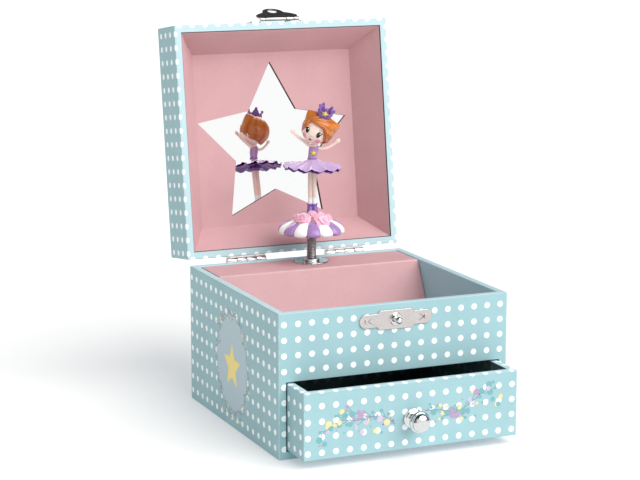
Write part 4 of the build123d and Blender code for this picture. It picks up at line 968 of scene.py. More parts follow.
class BOX_OT_drawer(bpy.types.Operator):
    """Paper-covered drawer, the paper folded over its top edges"""
    bl_idname = "box.drawer"
    bl_label = "Drawer"
    bl_options = {"REGISTER", "UNDO"}

    def execute(self, context):
        xs = wall_planes(DRAWER_HIGH.x)
        ys = [DRAWER_LOW.y, DRAWER_LOW.y + WALL, DRAWER_BACK - WALL, DRAWER_BACK]
        boards = shell(xs, ys, [DRAWER_LOW.z, DRAWER_HIGH.z], lambda i, j, k: i != 1 or j != 1)
        drawer = make("drawer_walls", boards, ["drawer_paper"], "drawer", "dotted_paper_board",
                      ["drawer_front", "drawer_left", "drawer_right", "drawer_back"])
        bevel(drawer, DRAWER_EDGE, 4)
        dress("drawer_bottom", "tray_paper")
        return {"FINISHED"}


class BOX_OT_linings(bpy.types.Operator):
    """Card in the lid, card over the clockwork and felt on the compartment floor"""
    bl_idname = "box.linings"
    bl_label = "Linings"
    bl_options = {"REGISTER", "UNDO"}

    def execute(self, context):
        for side in ("front", "back", "left", "right"):
            dress(f"lid_liner_{side}", "card", 0.2)
        dress("mirror_card", "star_card")
        dress("movement_cover", "cover_card", 0.15)
        dress("compartment_lining", "felt")
        dress("star_mirror", "mirror")
        return {"FINISHED"}


class Printing:
    """Thin layers of ink laid on one wall: u and v run along the wall, h stands out of it."""
    SKIN = 0.03
    STEP = 0.018
    RISE = 0.0003

    def __init__(self, place):
        self.place = place
        self.shape = Shape()
        self.layer = 0
        self.count = 0

    def lay(self, outline, pick):
        """One printed shape, a hair higher than the last so that no two skins share a level."""
        self.count += 1
        level = self.STEP * self.layer + self.RISE * self.count
        self.shape.slab(outline, -self.SKIN - self.RISE * self.count, self.SKIN + level, self.place, pick)

    def oval(self, u, v, half_u, half_v, pick, sides=24):
        self.lay([(u + half_u * cos(a), v + half_v * sin(a)) for a in turns(sides)], pick)

    def leaf(self, u, v, turn, length, width, pick):
        """A leaf from its stalk end, pointed at both ends."""
        side = [(length * t, width / 2 * sin(pi * t) ** 0.8) for t in (k / 8 for k in range(9))]
        loop = side + [(a, -b) for a, b in reversed(side[1:-1])]
        c, s = cos(turn), sin(turn)
        self.lay([(u + a * c - b * s, v + a * s + b * c) for a, b in loop], pick)

    def twig(self, points, width, pick):
        """A thin line through points, tapering to its end."""
        line = smooth_path(points, 5)
        left, right = [], []
        for k, (u, v) in enumerate(line):
            ahead = line[min(k + 1, len(line) - 1)]
            behind = line[max(k - 1, 0)]
            run = hypot(ahead[0] - behind[0], ahead[1] - behind[1]) or 1.0
            half = width / 2 * (1 - 0.5 * k / len(line))
            nu, nv = -(ahead[1] - behind[1]) / run * half, (ahead[0] - behind[0]) / run * half
            left.append((u + nu, v + nv))
            right.append((u - nu, v - nv))
        self.lay(right + left[::-1], pick)


INKS = ["ink_teal", "ink_yellow", "ink_mauve", "ink_pale", "ink_twig", "ink_oval", "ink_star", "crown"]
TEAL, YELLOW, MAUVE, PALE, TWIG, OVAL, STAR, DARK = range(len(INKS))


class BOX_OT_garland(bpy.types.Operator):
    """Printed garland of twigs and coloured spots across the drawer front"""
    bl_idname = "box.garland"
    bl_label = "Drawer garland"
    bl_options = {"REGISTER", "UNDO"}
    STEMS = [
        [(-11.5, 21.5), (-19.0, 27.0), (-30.0, 28.5), (-43.0, 33.5)],
        [(-25.0, 28.0), (-36.0, 26.5), (-47.0, 27.0), (-59.0, 20.0)],
        [(8.0, 27.5), (17.0, 27.0), (26.0, 24.5), (34.0, 22.5)],
        [(20.0, 22.5), (33.0, 26.0), (44.0, 33.0), (52.0, 37.5)],
    ]
    LOOSE = [(-60, -12, 30), (11, 60, 24)]
    STEPS = 9
    SIDE_TURN = 0.75
    SLOPE = 0.07
    MIDDLE = 25.5
    SCATTER = 8.5
    BIG_SPOT = 0.6

    def execute(self, context):
        scene = context.scene
        chance = random.Random(scene.box_print.seed)
        wall = Matrix.Translation((0, DRAWER_LOW.y, 0)) @ Matrix.Rotation(pi / 2, 4, "X")
        page = Printing(wall)
        for stem in self.STEMS:
            self.stem(page, chance, smooth_path(stem, self.STEPS))
        page.layer = 3
        for low, high, count in self.LOOSE:
            for k in range(count):
                u = low + (high - low) * (k + chance.random()) / count
                size = chance.choice([0.4, 0.55, 0.75, 1.0, 1.5])
                inks = [TEAL, TEAL, YELLOW, PALE] if size > self.BIG_SPOT else [MAUVE, MAUVE, TEAL, DARK]
                pick = chance.choice(inks)
                v = self.MIDDLE + self.SLOPE * u + chance.uniform(-self.SCATTER, self.SCATTER)
                page.oval(u, v, size, size, pick, sides=20)
        make("drawer_garland", page.shape, INKS, "drawer", "dotted_paper_board", smooth=False)
        return {"FINISHED"}

    def stem(self, page, chance, line):
        """A curved stem with side twigs, most of them ending in a spot."""
        page.layer = 1
        page.twig(line, 0.5, TWIG)
        for k in range(2, len(line), 2):
            u, v = line[k]
            run = atan2(v - line[k - 1][1], u - line[k - 1][0])
            turn = run + (self.SIDE_TURN if k % 4 else -self.SIDE_TURN)
            length = chance.uniform(2.6, 6.0)
            bend = (u + 0.5 * length * cos(turn), v + 0.5 * length * sin(turn))
            eased = turn - 0.3 * (turn - run)
            tip = (u + length * cos(eased), v + length * sin(eased))
            page.layer = 1
            page.twig([(u, v), bend, tip], 0.36, TWIG)
            size = chance.choice([0.9, 1.2, 1.6, 2.0])
            page.layer = 2
            page.oval(*tip, size, size, chance.choice([TEAL, TEAL, TEAL, YELLOW, MAUVE, PALE]))


class BOX_OT_ovals(bpy.types.Operator):
    """Printed oval with a star and a wreath on each side of the box"""
    bl_idname = "box.ovals"
    bl_label = "Side ovals"
    bl_options = {"REGISTER", "UNDO"}
    CENTRE_Y = 0.5
    CENTRE_Z = 40.6
    HALF_U = 25.8
    HALF_V = 31.3
    STAR_R = 15.0
    STAR_INNER = 0.46
    STAR_NARROW = 0.94
    STAR_DOWN = 1.8
    STAR_TURN = pi / 2 - 0.02
    RUNS = 9
    LEAVES = 56
    SPOTS = 70

    def execute(self, context):
        scene = context.scene
        for side, label in ((-1, "left"), (1, "right")):
            chance = random.Random(scene.box_print.seed + side)
            wall = (Matrix.Translation((side * HALF_W, self.CENTRE_Y, self.CENTRE_Z))
                    @ Matrix.Rotation(side * pi / 2, 4, "Z") @ Matrix.Rotation(pi / 2, 4, "X"))
            page = Printing(wall)
            page.layer = 0
            page.oval(0, 0, self.HALF_U, self.HALF_V, OVAL, sides=72)
            page.layer = 2
            star = star_outline(self.STAR_R, self.STAR_R * self.STAR_INNER, self.STAR_TURN)
            page.lay([(self.STAR_NARROW * u, v - self.STAR_DOWN) for u, v in star], STAR)
            self.wreath(page, chance)
            make(f"side_oval_{label}", page.shape, INKS, "box", "dotted_paper_board", smooth=False)
        return {"FINISHED"}

    def rim(self, turn, scale):
        return (self.HALF_U * scale * cos(turn), self.HALF_V * scale * sin(turn))

    def wreath(self, page, chance):
        page.layer = 1
        for run in range(self.RUNS):
            start = 2 * pi * run / self.RUNS
            wave = [self.rim(start + 0.1 * k, 1.0 + 0.055 * sin(1.9 * k + run)) for k in range(9)]
            page.twig(wave, 0.5, TWIG)
            page.twig([self.rim(start + 0.3 + 0.04 * k, 1.0 + 0.045 * k) for k in range(4)], 0.45, TWIG)
        page.layer = 2
        for k in range(self.LEAVES):
            turn = 2 * pi * (k + chance.uniform(-0.3, 0.3)) / self.LEAVES
            u, v = self.rim(turn, chance.uniform(0.9, 1.14))
            outward = atan2(v / self.HALF_V, u / self.HALF_U)
            lean = outward + chance.choice([-1.0, 0.9]) + (pi if k % 2 else 0.0)
            page.leaf(u, v, lean, chance.uniform(2.2, 4.0), 1.1, TEAL)
        page.layer = 3
        for k in range(self.SPOTS):
            turn = 2 * pi * (k + chance.random()) / self.SPOTS
            u, v = self.rim(turn, chance.uniform(0.84, 1.24))
            size = chance.choice([0.4, 0.6, 0.8, 1.1, 1.3])
            page.oval(u, v, size, size, chance.choice([YELLOW, YELLOW, MAUVE, PALE, PALE]), sides=14)


class BOX_OT_fittings(bpy.types.Operator):
    """Plated hinges, nails, catch and hasp"""
    bl_idname = "box.fittings"
    bl_label = "Hinges and clasp"
    bl_options = {"REGISTER", "UNDO"}

    def execute(self, context):
        for side in ("left", "right"):
            dress(f"hinge_body_leaf_{side}", "nickel", 0.12)
            dress(f"hinge_lid_leaf_{side}", "nickel", 0.12)
        for node in ("hinge_pins", "body_nails", "lid_nails", "hasp_pin", "drawer_knob_screw"):
            dress(node, "nickel", 0.08)
        for node in ("catch_plate", "hasp_plate", "hasp_tongue"):
            dress(node, "nickel", 0.28)
        dress("catch_stud", "chrome")
        dress("shaft_flange", "chrome", 0.4)
        dress("shaft_collar", "chrome", 0.12)
        return {"FINISHED"}


class BOX_OT_knob(bpy.types.Operator):
    """Turned and plated drawer knob"""
    bl_idname = "box.knob"
    bl_label = "Drawer knob"
    bl_options = {"REGISTER", "UNDO"}
    SIDES = 112
    # radius, and distance out from the drawer front
    PROFILE = [(5.3, 0.0), (5.9, 0.25), (6.05, 0.8), (5.7, 1.3), (4.2, 1.9), (3.2, 2.9), (2.8, 4.3),
               (2.8, 5.7), (3.3, 6.9), (4.6, 7.9), (6.0, 8.5), (6.5, 9.0), (6.6, 9.6), (6.45, 10.3),
               (6.05, 10.8), (5.75, 11.0), (5.7, 11.5), (5.5, 12.4), (4.9, 13.4), (3.9, 14.2), (2.6, 14.7),
               (1.2, 14.95), (0.3, 15.0)]

    def execute(self, context):
        low, high = corners("drawer_knob")
        centre_z = (low.z + high.z) / 2
        reach = (DRAWER_LOW.y - low.y) / self.PROFILE[-1][1]
        wide = (high.z - low.z) / 2 / max(r for r, out in self.PROFILE)
        rings = []
        for r, out in smooth_path(self.PROFILE, 7):
            y = DRAWER_LOW.y - out * reach
            rings.append([(r * wide * cos(a), y, centre_z + r * wide * sin(a)) for a in turns(self.SIDES)])
        knob = Shape()
        knob.skin(rings)
        make("knob_turned", knob, ["chrome"], "drawer", "chrome", ["drawer_knob"])
        return {"FINISHED"}


class BOX_OT_clockwork(bpy.types.Operator):
    """Brass and steel of the music movement under its card cover"""
    bl_idname = "box.clockwork"
    bl_label = "Clockwork"
    bl_options = {"REGISTER", "UNDO"}

    def execute(self, context):
        for node in ("movement_bedplate", "cylinder", "spring_barrel"):
            dress(node, "brass", 0.06)
        for node in ("comb", "movement_screws", "spindle", "winding_arbor", "governor", "stop_rod"):
            dress(node, "steel", 0.06)
        dress("winding_key", "nickel", 0.12)
        return {"FINISHED"}


class BOX_OT_spring(bpy.types.Operator):
    """Close-wound spring that carries the dancer, between the movement and the figure"""
    bl_idname = "box.spring"
    bl_label = "Spring"
    bl_options = {"REGISTER", "UNDO"}
    # radius of the wire
    WIRE = 0.4
    PITCH = 0.98
    STEPS = 28

    def execute(self, context):
        low, high = corners("figure_spring")
        mean = (high.x - low.x) / 2 - self.WIRE
        rise = high.z - low.z - 2 * self.WIRE
        count = int(rise / self.PITCH * self.STEPS)
        path = []
        for k in range(count + 1):
            turn = 2 * pi * k / self.STEPS
            path.append(Vector((SPINDLE.x + mean * cos(turn), SPINDLE.y + mean * sin(turn),
                                low.z + self.WIRE + rise * k / count)))
        coil = Shape()
        coil.skin(tube_rings(path, [(self.WIRE, self.WIRE)] * len(path), 8, Vector((0, 0, 1))))
        wire = make("spring_coil", coil, ["spring_steel"], None, "steel", ["figure_spring"])
        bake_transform(wire)
        return {"FINISHED"}


class BOX_OT_dome(bpy.types.Operator):
    """Candy-striped dome of rounded lobes that the dancer stands on"""
    bl_idname = "box.dome"
    bl_label = "Dome"
    bl_options = {"REGISTER", "UNDO"}
    LOBES = 14
    SIDES = 12
    EDGE_R = 19.9
    LOBE_OUT = 1.6
    BASE = 15.6
    EDGE_Z = 21.6
    TOP_Z = 28.6
    BOSS_R = 4.0
    FIRST = radians(-90 + 5)
    ROWS = 22
    HEART = 0.04
    # share of the edge's radius, and height, from the rolled edge in to the boss
    UNDERSIDE = [(1.012, 20.9), (1.015, 20.1), (1.005, 19.4), (0.98, 18.95), (0.94, 18.8), (0.88, 19.2),
                 (0.7, 20.6), (0.5, 21.4), (0.32, 21.6)]

    def execute(self, context):
        count = self.LOBES * self.SIDES
        tall = self.TOP_Z - self.EDGE_Z
        shares = [self.HEART + (1 - self.HEART) * k / self.ROWS for k in range(self.ROWS + 1)]
        rows = [(share, self.EDGE_Z + tall * (1 - share ** 2.1) ** 0.72) for share in shares]
        boss = self.BOSS_R / self.EDGE_R
        rows += self.UNDERSIDE + [(boss, self.EDGE_Z - 0.2), (boss - 0.01, self.BASE)]
        rings = []
        for share, height in rows:
            ring = []
            for i, turn in enumerate(turns(count)):
                puff = sqrt(max(0.0, 1 - abs(2 * (i % self.SIDES) / self.SIDES - 1) ** 2.4))
                out = self.EDGE_R * share + self.LOBE_OUT * puff * min(1.0, share * 1.15) ** 1.5
                if share < 0.25 and height < self.EDGE_Z:
                    out = self.EDGE_R * share
                lift = 0.8 * puff * (share * (1.05 - share)) * 3.2 if height > self.EDGE_Z else 0.0
                sag = 0.9 * (1 - puff) if share > 0.87 and height < 20.3 else 0.0
                angle = turn + self.FIRST - pi / self.LOBES
                ring.append(FIGURE @ Vector((out * cos(angle), out * sin(angle), height + lift + sag)))
            rings.append(ring)
        dome = Shape()
        dome.skin(rings)
        stripes = [i // self.SIDES % 2 for i in range(count)]
        dome.picks = stripes * (len(rows) - 1) + [0] * (2 * count)
        make("candy_dome", dome, ["candy", "ivory"], "dancer", "striped_resin", ["figure_dome"])
        return {"FINISHED"}


class BOX_OT_roses(bpy.types.Operator):
    """Full roses of spiralling petals round the dancer's feet"""
    bl_idname = "box.roses"
    bl_label = "Roses"
    bl_options = {"REGISTER", "UNDO"}
    # x, y and z of the middle, radius, and lean outwards
    PLACES = [(6.4, -8.6, 26.9, 7.1, 1.0), (-5.2, -8.0, 27.6, 6.2, 0.9), (9.8, 1.4, 27.4, 4.8, 0.7),
              (-9.8, -0.6, 27.4, 4.8, 0.7), (4.8, 8.2, 27.6, 4.8, 0.7), (-5.0, 7.8, 27.6, 4.8, 0.7),
              (0.6, -6.2, 31.4, 3.6, 0.7)]
    ROUNDS = 3.4
    OPEN = radians(112)
    SPIN = 1.3

    def execute(self, context):
        garland = Shape()
        for number, (x, y, z, reach, lean) in enumerate(self.PLACES):
            outward = Vector((x, y, 0)).normalized()
            axis = (outward * sin(lean) + Vector((0, 0, cos(lean)))).normalized()
            turned = axis.to_track_quat("Z", "Y").to_matrix().to_4x4()
            turned = turned @ Matrix.Rotation(number * self.SPIN, 4, "Z")
            self.rose(garland, FIGURE @ Matrix.Translation((x, y, z)) @ turned, reach)
        make("rose_garland", garland, ["petals"], "dancer", "pink_resin", ["figure_roses"])
        return {"FINISHED"}

    def lip(self, way):
        """0 at the foot of a petal to 1 at its lip, winding outwards from the heart."""
        tall = way.angle(Vector((0, 0, 1)))
        turn = atan2(way.y, way.x)
        wind = self.ROUNDS * (tall / self.OPEN) ** 0.8 - turn / (2 * pi)
        scallop = 0.2 * cos(3 * turn + 1.7 * tall) + 0.08 * cos(7 * turn + 3.0)
        return (wind + scallop * min(1.0, tall * 1.5)) % 1.0

    def rose(self, garland, place, reach):
        """A ball whose skin steps outwards petal after petal."""

        def reach_at(way):
            squash = 1 - 0.22 * max(0.0, way.z)
            return reach * squash * (0.8 + 0.2 * self.lip(way) ** 0.7)

        rings = ball_rings(reach_at, 60, 96)
        pale = [self.lip(p.normalized()) ** 3 * 0.75 for ring in rings for p in ring]
        first = len(garland.hollow)
        garland.skin(placed(rings, place))
        garland.hollow[first:first + len(pale)] = pale


class BOX_OT_legs(bpy.types.Operator):
    """Legs side by side, with socks and ruffled shoes"""
    bl_idname = "box.legs"
    bl_label = "Legs"
    bl_options = {"REGISTER", "UNDO"}
    APART = 1.32
    SOCK_LOW = 37.2
    SOCK_HIGH = 42.2
    MIDDLE = 0.6
    # distance outwards, y, z, half width and half depth
    LEG = [(0.1, 0.2, 35.4, 1.5, 1.5), (0, 0.1, 38.0, 1.42, 1.42), (0, 0, 41.0, 1.38, 1.4),
           (0, 0, 47.0, 1.5, 1.6), (0, 0, 53.0, 1.52, 1.55), (0, 0, 61.5, 1.62, 1.7)]
    SHOE = [(0.45, -2.6, 30.6, 1.0, 1.1), (0.4, -2.0, 31.6, 1.7, 1.9), (0.35, -0.9, 33.4, 1.85, 2.3),
            (0.2, -0.1, 35.4, 1.75, 1.9), (0.1, 0.1, 37.4, 1.62, 1.7)]
    FRILL = [(1.45, 36.4), (1.85, 36.9), (2.05, 37.7), (1.8, 37.9), (1.5, 37.2)]
    FRILL_FROM = 1.6
    SKIN, SOCK, SHOE_PAINT, RIBBON = range(4)
    FRILL_WAVES = 9

    def execute(self, context):
        legs = Shape()
        for side in (-1, 1):
            x = self.MIDDLE + side * self.APART
            leg, shoe = ([(x + out * side, *rest) for out, *rest in part] for part in (self.LEG, self.SHOE))
            legs.skin(limb(leg, 6, 20), pick=self.zone)
            legs.skin(limb(shoe, 5, 20), self.SHOE_PAINT)
            self.cuff(legs, x)
        looks = ["skin", "ivory", "crown", "candy"]
        make("legs_and_shoes", legs, looks, "dancer", "skin_resin", ["figure_legs"])
        return {"FINISHED"}

    def zone(self, spot):
        height = (FIGURE.inverted() @ spot).z
        if height >= self.SOCK_HIGH:
            return self.SKIN
        return self.SOCK if height > self.SOCK_LOW else self.SHOE_PAINT

    def cuff(self, legs, x):
        """A frilled edge round the ankle, and the crossed ribbons over the instep."""
        rings = []
        for out, up in self.FRILL:
            wavy = out > self.FRILL_FROM
            ring = []
            for turn in turns(48):
                wave = cos(self.FRILL_WAVES * turn)
                reach = out * (1 + (0.09 * wave if wavy else 0.0))
                lift = 0.25 * wave if wavy else 0.0
                ring.append(FIGURE @ Vector((x + reach * cos(turn), reach * sin(turn), up + lift)))
            rings.append(ring)
        legs.skin(rings, self.SHOE_PAINT)
        for lean in (-1, 1):
            path = []
            for t in (k / 10 for k in range(11)):
                over = (x + lean * 1.5 * cos(pi * t), -1.95 * sin(pi * t) - 0.75 * (1 - t), 33.0 + 3.0 * t)
                path.append(FIGURE @ Vector(over))
            legs.tube(path, 0.22, 8, self.RIBBON)


class BOX_OT_skirt(bpy.types.Operator):
    """Two ruffled layers of tutu, with painted shade underneath and on the lower layer"""
    bl_idname = "box.skirt"
    bl_label = "Tutu"
    bl_options = {"REGISTER", "UNDO"}
    WAVES = 13
    SIDES = 312
    ROWS = 26
    TILT = 0.045
    WAIST_R = 2.3
    # reach, height at the waist and at the hem, height of the waves, their phase, thickness, finish above
    # the lower flounce's upper side takes the painted shade of the underside too
    FLOUNCES = [(18.7, 67.5, 62.4, 0.72, 0.0, 0.5, 0), (18.2, 65.6, 61.3, 0.62, pi * 0.35, 0.6, 1)]
    HEM = [(1.008, 0.25), (1.01, 0.5), (1.006, 0.8)]
    HUB = [(3.3, 58.7), (4.2, 59.2), (4.6, 60.6), (3.6, 62.2), (2.4, 63.6)]

    def execute(self, context):
        skirt = Shape()
        for flounce in self.FLOUNCES:
            self.layer(skirt, *flounce)
        self.hub(skirt)
        make("tutu_layers", skirt, ["skirt", "skirt_under"], "dancer", "lavender_resin", ["figure_tutu"])
        return {"FINISHED"}

    def layer(self, skirt, reach, waist, hem, wave, phase, thick, upper):
        """One flounce: its upper side in the given finish, a rounded hem, and its underside in painted
        shade.
        """
        rings, hollow = [], []
        rows = [(k / self.ROWS, 0.0) for k in range(self.ROWS + 1)]
        rows += self.HEM
        rows += [(1 - k / self.ROWS, 1.0) for k in range(self.ROWS + 1)]
        for share, under in rows:
            ring = []
            for turn in turns(self.SIDES):
                swing = self.WAVES * turn + phase + 0.9 * share + 0.5 * sin(3 * turn)
                ruffle = cos(swing) + 0.28 * cos(2 * swing + 1.0)
                grow = share ** 1.9
                flutter = 1 + 0.02 * grow * cos(2 * swing + 0.4)
                out = self.WAIST_R + (reach - self.WAIST_R) * share * flutter
                height = waist - (waist - hem) * share ** 0.78 + wave * grow * ruffle
                height += 0.13 * cos(3 * swing + 0.6) * share * (1 - 0.3 * share)
                height -= under * thick + self.TILT * out * cos(turn)
                ring.append(FIGURE @ Vector((0.5 + out * cos(turn), out * sin(turn), height)))
                # painted shade in the troughs of the ruffles
                hollow.append(max(0.0, -ruffle) * 0.55 * grow)
            rings.append(ring)
        skirt.skin(rings)
        above = self.SIDES * (self.ROWS + 1)
        below = self.SIDES * (len(rows) - 1) - above
        picks = [upper] * above + [1] * below + [upper] * self.SIDES + [1] * self.SIDES
        skirt.picks[-len(picks):] = picks
        skirt.hollow[-(len(hollow) + 2):] = hollow + [0.0, 0.0]

    def hub(self, skirt):
        """The gathered underside where the legs come out."""
        rings = []
        for out, up in smooth_path(self.HUB, 4):
            rings.append([FIGURE @ Vector((0.6 + out * (1 + 0.05 * cos(12 * a)) * cos(a), out * sin(a), up))
                          for a in turns(72)])
        # the hub takes the painted shade of the underside
        skirt.skin(rings, 1)


class BOX_OT_bodice(bpy.types.Operator):
    """Bodice with a raised star, shoulders and neck"""
    bl_idname = "box.bodice"
    bl_label = "Bodice"
    bl_options = {"REGISTER", "UNDO"}
    NECKLINE = 75.6
    CLOTH, SKIN, STAR_PAINT, BELT = range(4)
    # x, y, z, half width and half depth, from the waist to the top of the neck
    TORSO = [(0.5, 0, 66.4, 2.9, 2.5), (0.6, 0, 68.6, 2.75, 2.3), (1.1, 0, 71.4, 3.0, 2.45),
             (1.8, 0, 74.2, 3.25, 2.3), (2.3, 0, 75.7, 3.1, 2.0), (2.6, 0, 76.6, 1.9, 1.6),
             (2.8, -0.1, 77.6, 1.35, 1.35), (3.2, -0.3, 80.2, 1.35, 1.35)]

    def execute(self, context):
        torso = Shape()
        torso.skin(limb(self.TORSO, 6, 32), pick=self.zone)
        belt = [(2.95 * cos(a) + 0.5, 2.55 * sin(a), 67.4) for a in turns(32, closed=True)]
        torso.tube([FIGURE @ Vector(p) for p in belt], 0.35, 8, self.BELT)
        front = FIGURE @ Matrix.Translation((1.2, -2.25, 71.3)) @ Matrix.Rotation(pi / 2, 4, "X")
        torso.slab(star_outline(2.15, 0.98, pi / 2 - 0.2), -0.3, 0.42, front, self.STAR_PAINT)
        looks = ["bodice", "skin", "gold_paint", "crown"]
        make("bodice_and_neck", torso, looks, "dancer", "lavender_resin", ["figure_bodice"])
        return {"FINISHED"}

    def zone(self, spot):
        return self.SKIN if (FIGURE.inverted() @ spot).z > self.NECKLINE else self.CLOTH


class BOX_OT_arms(bpy.types.Operator):
    """Raised arms with mitten hands"""
    bl_idname = "box.arms"
    bl_label = "Arms"
    bl_options = {"REGISTER", "UNDO"}
    # x, y, z, half width and half depth, outwards from the shoulder, and on from the wrist
    ARMS = {
        "right": [(0.4, 0.0, 74.6, 1.15, 1.2), (-2.0, -0.2, 76.6, 1.15, 1.15),
                  (-5.1, -0.6, 79.2, 1.05, 1.05), (-8.6, -0.9, 81.8, 0.95, 0.95),
                  (-10.8, -1.1, 84.0, 0.85, 0.85)],
        "left": [(4.4, 0.0, 74.4, 1.15, 1.2), (6.6, -0.2, 73.9, 1.1, 1.15), (9.7, -0.6, 74.3, 1.05, 1.05),
                 (13.4, -0.9, 76.2, 0.95, 0.95), (15.9, -1.1, 78.0, 0.85, 0.85)],
    }
    HANDS = {
        "right": [(-10.8, -1.1, 84.0, 0.85, 0.8), (-11.6, -1.2, 85.0, 1.25, 0.75),
                  (-12.5, -1.2, 85.7, 1.3, 0.65), (-13.3, -1.2, 86.0, 0.85, 0.5)],
        "left": [(15.9, -1.1, 78.0, 0.85, 0.8), (16.9, -1.2, 78.9, 1.25, 0.75),
                 (17.8, -1.2, 79.5, 1.3, 0.65), (18.5, -1.2, 79.8, 0.85, 0.5)],
    }

    def execute(self, context):
        arms = Shape()
        for side in self.ARMS:
            for stations in (self.ARMS[side], self.HANDS[side]):
                arms.skin(limb(stations, 7, 18, Vector((0, 0, 1))))
            tip = Vector(self.HANDS[side][1][:3])
            thumb = ellipsoid_rings(tip + Vector((0.1, -0.3, 1.0)), (0.4, 0.4, 0.75), 8, 10)
            arms.skin(placed(thumb, FIGURE))
        make("arms_and_hands", arms, ["skin"], "dancer", "skin_resin", ["figure_arms"])
        return {"FINISHED"}


CHEEK_X = 4.7
CHEEK_OUT = 5.0
CHEEK_Z = -4.6
HEAD_HALVES = (8.3, 8.0, 8.3)


# middle, height and narrowness of each rise on the head
HEAD_RISES = [((-0.62, -0.6, -0.5), 0.42, 0.12), ((0.62, -0.6, -0.5), 0.42, 0.12),
              ((0, -1, -0.32), 0.5, 0.008), ((0, -0.55, -0.84), 0.25, 0.04)]


def head_radius(way):
    """Radius of the head from its middle: an ellipsoid with fuller cheeks, a nose and a small chin."""
    out = 1 / sqrt(sum((c / h) ** 2 for c, h in zip(way, HEAD_HALVES)))
    for middle, rise, spread in HEAD_RISES:
        out += rise * exp(-(way - Vector(middle).normalized()).length_squared / spread)
    return out


def on_face(x, z, proud=0.0):
    """The point of the face's surface that is seen at (x, z) from in front."""
    half_x, half_y, half_z = HEAD_HALVES
    y = -sqrt(max(0.0, 1 - (x / half_x) ** 2 - (z / half_z) ** 2)) * half_y
    way = Vector((x, y, z)).normalized()
    return way * (head_radius(way) + proud), way


class BOX_OT_head(bpy.types.Operator):
    """Head with cheeks, eyes and mouth"""
    bl_idname = "box.head"
    bl_label = "Head"
    bl_options = {"REGISTER", "UNDO"}
    BLACK, WHITE, RED, BROWN = range(4)
    EYE_X = 3.95

    def execute(self, context):
        head = Shape()
        head.skin(placed(ball_rings(head_radius, 56, 80), FACE))
        make("head", head, ["face_skin"], "dancer", "skin_resin", ["figure_head"])
        marks = Shape()
        for side in (-1, 1):
            self.mark(marks, side * self.EYE_X, -0.3, (1.42, 0.46, 2.05), self.BLACK, side * 0.12)
            # a white dot in each eye, offset the same way in both: a painted highlight
            self.mark(marks, side * self.EYE_X + 0.45, 0.6, (0.38, 0.4, 0.48), self.WHITE, 0.0, 0.3)
            for k, flick in enumerate((0.5, 0.95)):
                lash = (side * (5.1 + 0.3 * k), 1.0 - 0.6 * k)
                self.mark(marks, *lash, (0.8, 0.26, 0.22), self.BLACK, -side * flick)
            self.mark(marks, side * 3.9, 2.55, (1.15, 0.2, 0.17), self.BROWN, side * 0.18)
            self.mark(marks, side * 0.5, -5.2, (0.72, 0.36, 0.5), self.RED, side * 0.3)
        self.mark(marks, 0.0, -5.7, (0.8, 0.4, 0.52), self.RED, 0.0)
        looks = ["black_enamel", "white_enamel", "lips", "hair"]
        make("face_paint", marks, looks, "dancer", "skin_resin")
        return {"FINISHED"}

    def mark(self, shape, x, z, halves, pick, turn, proud=0.0):
        """A low painted bead on the face, wide and tall as seen from in front."""
        spot, way = on_face(x, z, proud)
        rotate = (-way).to_track_quat("Y", "Z").to_matrix().to_4x4()
        place = FACE @ Matrix.Translation(spot) @ rotate @ Matrix.Rotation(turn, 4, "Y")
        shape.skin(placed(ellipsoid_rings((0, 0, 0), halves, 14, 20), place), pick)


